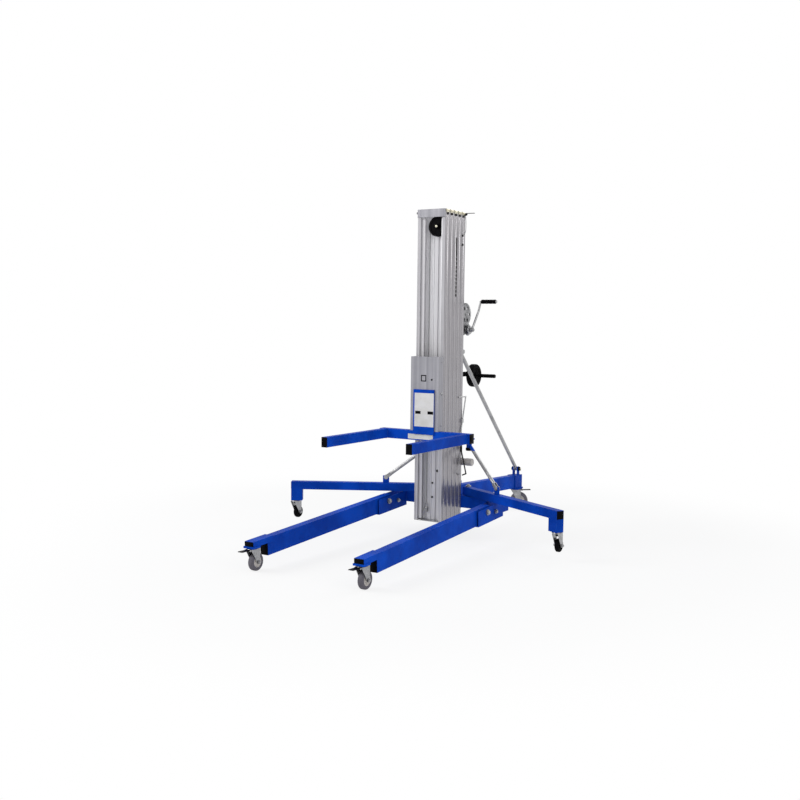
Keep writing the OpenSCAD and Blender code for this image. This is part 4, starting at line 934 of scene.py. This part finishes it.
def addRibs(r):
    low, high = r["low"], r["high"]
    for body, y in columns.items():  # a low rib runs up each side between the two flutes
        ribs = bmesh.new()
        for sign in (-1, 1):
            near, far = skin(sign, *r["skin"])
            block(ribs, (near, y + r["along"][0], low), (far, y + r["along"][1], high), 0.9)
        addPiece("sideRibs_" + body, ribs, body, "aluminium")
    lips = bmesh.new()
    front, back = r["lipDepth"]
    for left, right in r["lips"]:  # return flanges behind the carriage rails
        block(lips, (left, front, low), (right, back, high), 0.8)
    front, back = r["beadDepth"]
    for x in r["beads"]:
        block(lips, (x - r["half"], front, low), (x + r["half"], back, r["beadTop"]), 1.5)
    addPiece("innerLips", lips, "stage_5", "aluminium")


addRibs(mastRib)

bumper = ((0, 0), (8.5, 0), (9, 4), (7.5, 9), (4, 13), (0, 14.2))
knob = ((0, 0), (20.5, 0), (22.5, 2), (22.5, 3.4), (19, 5.4), (10, 6.2), (0, 6.4))
pinCap = ((6.4, 0.2), (14.4, 0.2), (14.8, 2), (14.8, 8), (12.4, 11), (0, 11))

# body, sides, profile, spot and steps of each set of turned black caps
caps = {"frontBumper": ("stage_5", (-1,), bumper, (95, 10, 1970), 24),
        "rearBumper": ("base", (1,), bumper, (97.5, 243, 1977), 24),
        "crossbarKnobs": ("lift", (-1, 1), knob, (310, -35, 636), 32),
        "bracePinCaps": ("base", (-1, 1), pinCap, (19.5, 1261.5, 289), 32)}


def addCaps(name, body, signs, profile, spot, steps):
    bm = bmesh.new()
    for sign in signs:
        lathe(bm, profile, (sign * spot[0], *spot[1:]), (sign, 0, 0), steps)
    addPiece(name, bm, body, "black_plastic")


for name, row in caps.items():
    addCaps(name, *row)

topLever = {"pivot": (66, 240, 1983), "turn": 6, "low": (0, -5, -1.8), "high": (92, 5, 1.8),
            "bolt": (20, 0, 1.6)}
stopWire = {"radius": 1.6, "path": ((99, 244, 1968), (101, 246, 1940), (101.5, 247, 1905), (101, 246, 1880),
                                    (99.5, 238, 1862), (99, 228, 1850), (99, 220, 1846))}


def addTopTrim(lever, wire):
    bm = bmesh.new()
    turn = Matrix.Translation(lever["pivot"]) @ Matrix.Rotation(radians(lever["turn"]), 4, "Z")
    block(bm, lever["low"], lever["high"], 1.2, 2, turn)
    hexBolt(bm, turn @ Vector(lever["bolt"]), (0, 0, 1), 8, 4)
    addPiece("topLever", bm, "base", "black_steel")
    bm = bmesh.new()
    tube(bm, wire["path"], wire["radius"], 8, bm.loops.layers.uv.new("lay"))
    addPiece("stopWire", bm, "base", "rope", (), 60)


addTopTrim(topLever, stopWire)

sideStrip = {"along": (130.5, 149), "thick": 0.4, "bar": (1712, 1829), "dash": (1690, 1708), "dashes": 10,
             "step": 24}


def addSideStrip(s):
    # a plain dark strip with dashes below it on the third column's side
    bm = bmesh.new()
    runs = [s["bar"]]
    runs += [[z - k * s["step"] for z in s["dash"]] for k in range(s["dashes"])]
    for sign in (-1, 1):
        near, far = skin(sign, 0, s["thick"])
        for low, high in runs:
            block(bm, (near, s["along"][0], low), (far, s["along"][1], high), 0.2, 1)
    addPiece("sideStrip", bm, "stage_3", "black_plastic")


addSideStrip(sideStrip)
print("mast trim fitted")

forkLabel = {"front": -68, "holder": -60, "sheet": 0.5, "label": (-62, 70.4, 692, 894),
             "strip": (-110, 63, 614, 644), "bars": ((-56, -19, 768, 786), (29, 68, 768, 786)),
             "plate": (-24, 12, 963, 1002), "rim": 6}


def addLabels(f):
    labels, marks = bmesh.new(), bmesh.new()

    def stick(bm, x0, x1, z0, z1, y):
        block(bm, (x0, y - f["sheet"], z0), (x1, y, z1), 0.2, 1)

    stick(labels, *f["label"], f["front"])
    stick(labels, *f["strip"], f["holder"])
    addPiece("blankLabels", labels, "lift", "sticker")
    for bar in f["bars"]:
        stick(marks, *bar, f["front"] - f["sheet"])
    x0, x1, z0, z1 = f["plate"]  # dark frame of a small blank plate
    rim = f["rim"]
    for edge in ((x0, x1, z0, z0 + rim), (x0, x1, z1 - rim, z1), (x0, x0 + rim, z0 + rim, z1 - rim),
                 (x1 - rim, x1, z0 + rim, z1 - rim)):
        stick(marks, *edge, f["holder"])
    addPiece("labelBars", marks, "lift", "black_plastic")


addLabels(forkLabel)

# body of each piece, then start, end and radius of each bead; one right of the middle has a twin
welds = {
    "forkWelds": ("lift", ((258, -60, 612), (258, -60, 660), 2.6), ((296, -60, 612), (296, -60, 660), 2.6),
                  ((260, -60, 665), (294, -60, 665), 2.6), ((260, -60, 607), (294, -60, 607), 2.6),
                  ((-68, -60, 665), (68, -60, 665), 2.8)),
    "baseWelds": ("base", ((-94, 257.5, 165), (94, 257.5, 165), 3), ((-94, 257.5, 238), (94, 257.5, 238), 3),
                  ((306, 257.5, 168), (306, 257.5, 235), 3), ((306, 337.5, 168), (306, 337.5, 235), 3),
                  ((25, 337.5, 203), (25, 337.5, 286), 3), ((-24, 337.5, 199), (24, 337.5, 199), 3)),
}


def addWelds(name, body, *beads):
    bm = bmesh.new()
    for start, end, radius in beads:
        for sign in (1, -1) if start[0] > 0 else (1,):
            weldBead(bm, (sign * start[0], *start[1:]), (sign * end[0], *end[1:]), radius)
    addPiece(name, bm, body, "weld", (), 50)


for name, rows in welds.items():
    addWelds(name, *rows)

# body, finish, kind and sides of each piece, then spot, way and size of each screw or nut in it
fasteners = {
    "rearColumnScrews": ("base", "black_steel", domeScrew, (-1, 1), ((95, 218, 1846), (1, 0, 0), 7.5, 5),
                         ((95, 218, 1791), (1, 0, 0), 7.5, 5)),
    "webBolts": ("stage_5", "black_steel", domeScrew, (1,), ((5, 45.5, 339), (0, -1, 0), 6.2, 4),
                 ((5, 45.5, 252), (0, -1, 0), 6.2, 4)),
    "carriageBolts": ("lift", "zinc_steel", domeScrew, (-1, 1), ((95, -20, 700), (1, 0, 0), 5, 3.5),
                      ((95, -20, 890), (1, 0, 0), 8.5, 5), ((95, -20, 1080), (1, 0, 0), 5, 3.5)),
    "pivotNuts": ("base", "zinc_steel", hexBolt, (-1, 1), ((391, 40, 198), (1, 0, 0), 22, 10),
                  ((391, 150, 188), (1, 0, 0), 17, 8), ((297, 40, 198), (-1, 0, 0), 22, 10),
                  ((297, 150, 188), (-1, 0, 0), 17, 8), ((122, 297.5, 301.6), (0, 0, 1), 18, 8),
                  ((122, 297.5, 607.6), (0, 0, 1), 18, 8), ((78, 257.5, 308), (0, 1, 0), 11, 6, (8, 1.5)),
                  ((78, 257.5, 326), (0, 1, 0), 11, 6, (8, 1.5))),
    "crankNut": ("crank_set", "zinc_steel", hexBolt, (1,),
                 ((97, 374.49, 1273.87), (1, 0, 0), 14, 5, (9, 1.5))),
}


def addFasteners(name, body, finishName, kind, signs, *rows):
    bm = bmesh.new()
    for sign in signs:
        for spot, way, *size in rows:
            kind(bm, (sign * spot[0], *spot[1:]), (sign * way[0], *way[1:]), *size)
    addPiece(name, bm, body, finishName)


for name, rows in fasteners.items():
    addFasteners(name, *rows)
print("labels, welds and fasteners set")

bracePin = {"spot": (1261.5, 289), "nose": (28.5, 37.5, 39.5), "thick": [4.2, 4.2, 3], "drop": (36.5, 3, -14),
            "dropThick": 2.2}


def addBracePin(b):
    # a drop-nose pin on the right of the brace's lower end
    bm = bmesh.new()
    y, z = b["spot"]
    tube(bm, [(x, y, z) for x in b["nose"]], b["thick"], 14)
    x, high, low = b["drop"]
    tube(bm, [(x, y, z + high), (x, y, z + low)], b["dropThick"], 10)
    addPiece("bracePinNose", bm, "base", "pale_zinc", (), 50)


addBracePin(bracePin)

winchTrim = {"bolt": (30, 254.5), "inset": 14, "brake": (70.5, 374.49, 1273.87), "half": 4.5, "disc": 27,
             "bore": 8.5}


def addWinchTrim(w):
    bolts, disc = bmesh.new(), bmesh.new()
    low, high = boxOf("winch_frame")[:2]
    x, y = w["bolt"]
    for sign in (-1, 1):
        for z in (low.z + w["inset"], high.z - w["inset"]):
            hexBolt(bolts, (sign * x, y, z), (0, 1, 0), 13, 6, (11, 1.5))
    addPiece("winchBolts", bolts, "base", "zinc_steel")
    half, r = w["half"], w["disc"]
    face = [(w["bore"], -half - 0.4), (r * 0.97, -half - 0.4), (r + 1.2, 1 - half), (r + 1.2, 2.6 - half),
            (r + 0.3, 3 - half)]
    lathe(disc, face + mirrored(face), w["brake"], (1, 0, 0), 48, True)
    addPiece("brakeDisc", disc, "crank_set", "zinc_steel")


addWinchTrim(winchTrim)

loadGrip = {"radius": 11, "bore": 6.2, "start": (-8, 659.5, 973), "length": 124, "ribs": 15, "step": 7.2}


def addLoadGrip(g):
    bm = bmesh.new()
    length, r, bore = g["length"], g["radius"], g["bore"]
    profile = [(bore, 0), (r + 2.5, 0), (r + 3.5, 1.5), (r + 2.5, 4)]
    for i in range(g["ribs"]):
        lift = i * g["step"]
        profile += [(r + 0.4, 6 + lift), (r + 1.2, 8.5 + lift), (r + 1.2, 11.2 + lift)]
    profile += [(r + 0.8, length - 3), (r * 0.85, length), (bore, length)]
    lathe(bm, profile, g["start"], (1, 0, 0), 32, True)
    addPiece("loadGripSleeve", bm, "base", "black_rubber", (), 50)


addLoadGrip(loadGrip)
print("winch, brace and grip trim fitted")

stage = {"size": 30, "floor": ((0.8, 0.8, 0.8), (0.82, 0.82, 0.82)), "show": 0.8, "fade": (1.6, 3)}


def addStage(s):
    half = s["size"] / 2
    corners = [(-half, -half, 0), (half, -half, 0), (half, half, 0), (-half, half, 0)]
    mesh = bpy.data.meshes.new("studioFloor")
    mesh.from_pydata(corners, [], [(0, 1, 2, 3)])
    floor = place("studioFloor", mesh)
    material = bpy.data.materials.new("studioFloor")
    start = emptyTree(material)
    spot = start.node("ShaderNodeTexCoord", {}, {}, "Object")
    cloud = spot.noise(3, 2, 0.5)
    far = spot.node("ShaderNodeVectorMath", {"operation": "LENGTH"}, {0: spot}, "Value").between(*s["fade"])
    show = (1 - far) * s["show"] + far  # the floor runs out to plain white beyond the machine
    matte = start.node("ShaderNodeBsdfDiffuse", {}, {"Color": cloud.tint(*s["floor"])})
    glow = start.node("ShaderNodeEmission", {}, {"Color": (1, 1, 1, 1), "Strength": 1})
    both = start.node("ShaderNodeMixShader", {}, {0: start.seen() * show, 1: matte, 2: glow})
    start.node("ShaderNodeOutputMaterial", {}, {"Surface": both})
    mesh.materials.append(material)


addStage(stage)

studio = {"world": 0.55, "sky": (0.97, 0.98, 1, 1),
          "lamps": {"keyLeft": ((-5.2, -3.9, 4.4), (0, -0.1, 0.9), 4, 340),
                    "fillRight": ((5, -2.4, 3.2), (0.1, -0.2, 0.8), 3.4, 95),
                    "rimBack": ((1.5, 4.8, 3.8), (0, 0.2, 1), 3, 70)}}


def addLight(s):
    world = bpy.data.worlds.new("studio")
    scene.world = world
    start = emptyTree(world)
    soft = start.node("ShaderNodeBackground", {}, {"Color": s["sky"], "Strength": s["world"]})
    white = start.node("ShaderNodeBackground", {}, {"Color": (1, 1, 1, 1), "Strength": 1})
    both = start.node("ShaderNodeMixShader", {}, {0: start.seen(), 1: soft, 2: white})
    start.node("ShaderNodeOutputWorld", {}, {"Surface": both})
    for name, (spot, aim, size, power) in s["lamps"].items():
        lamp = bpy.data.lights.new(name, "AREA")
        lamp.energy = power
        lamp.size = size
        stand = place(name, lamp)
        stand.location = spot
        stand.rotation_euler = (Vector(aim) - Vector(spot)).to_track_quat("-Z", "Y").to_euler()


addLight(studio)
print("stage and lamps set")
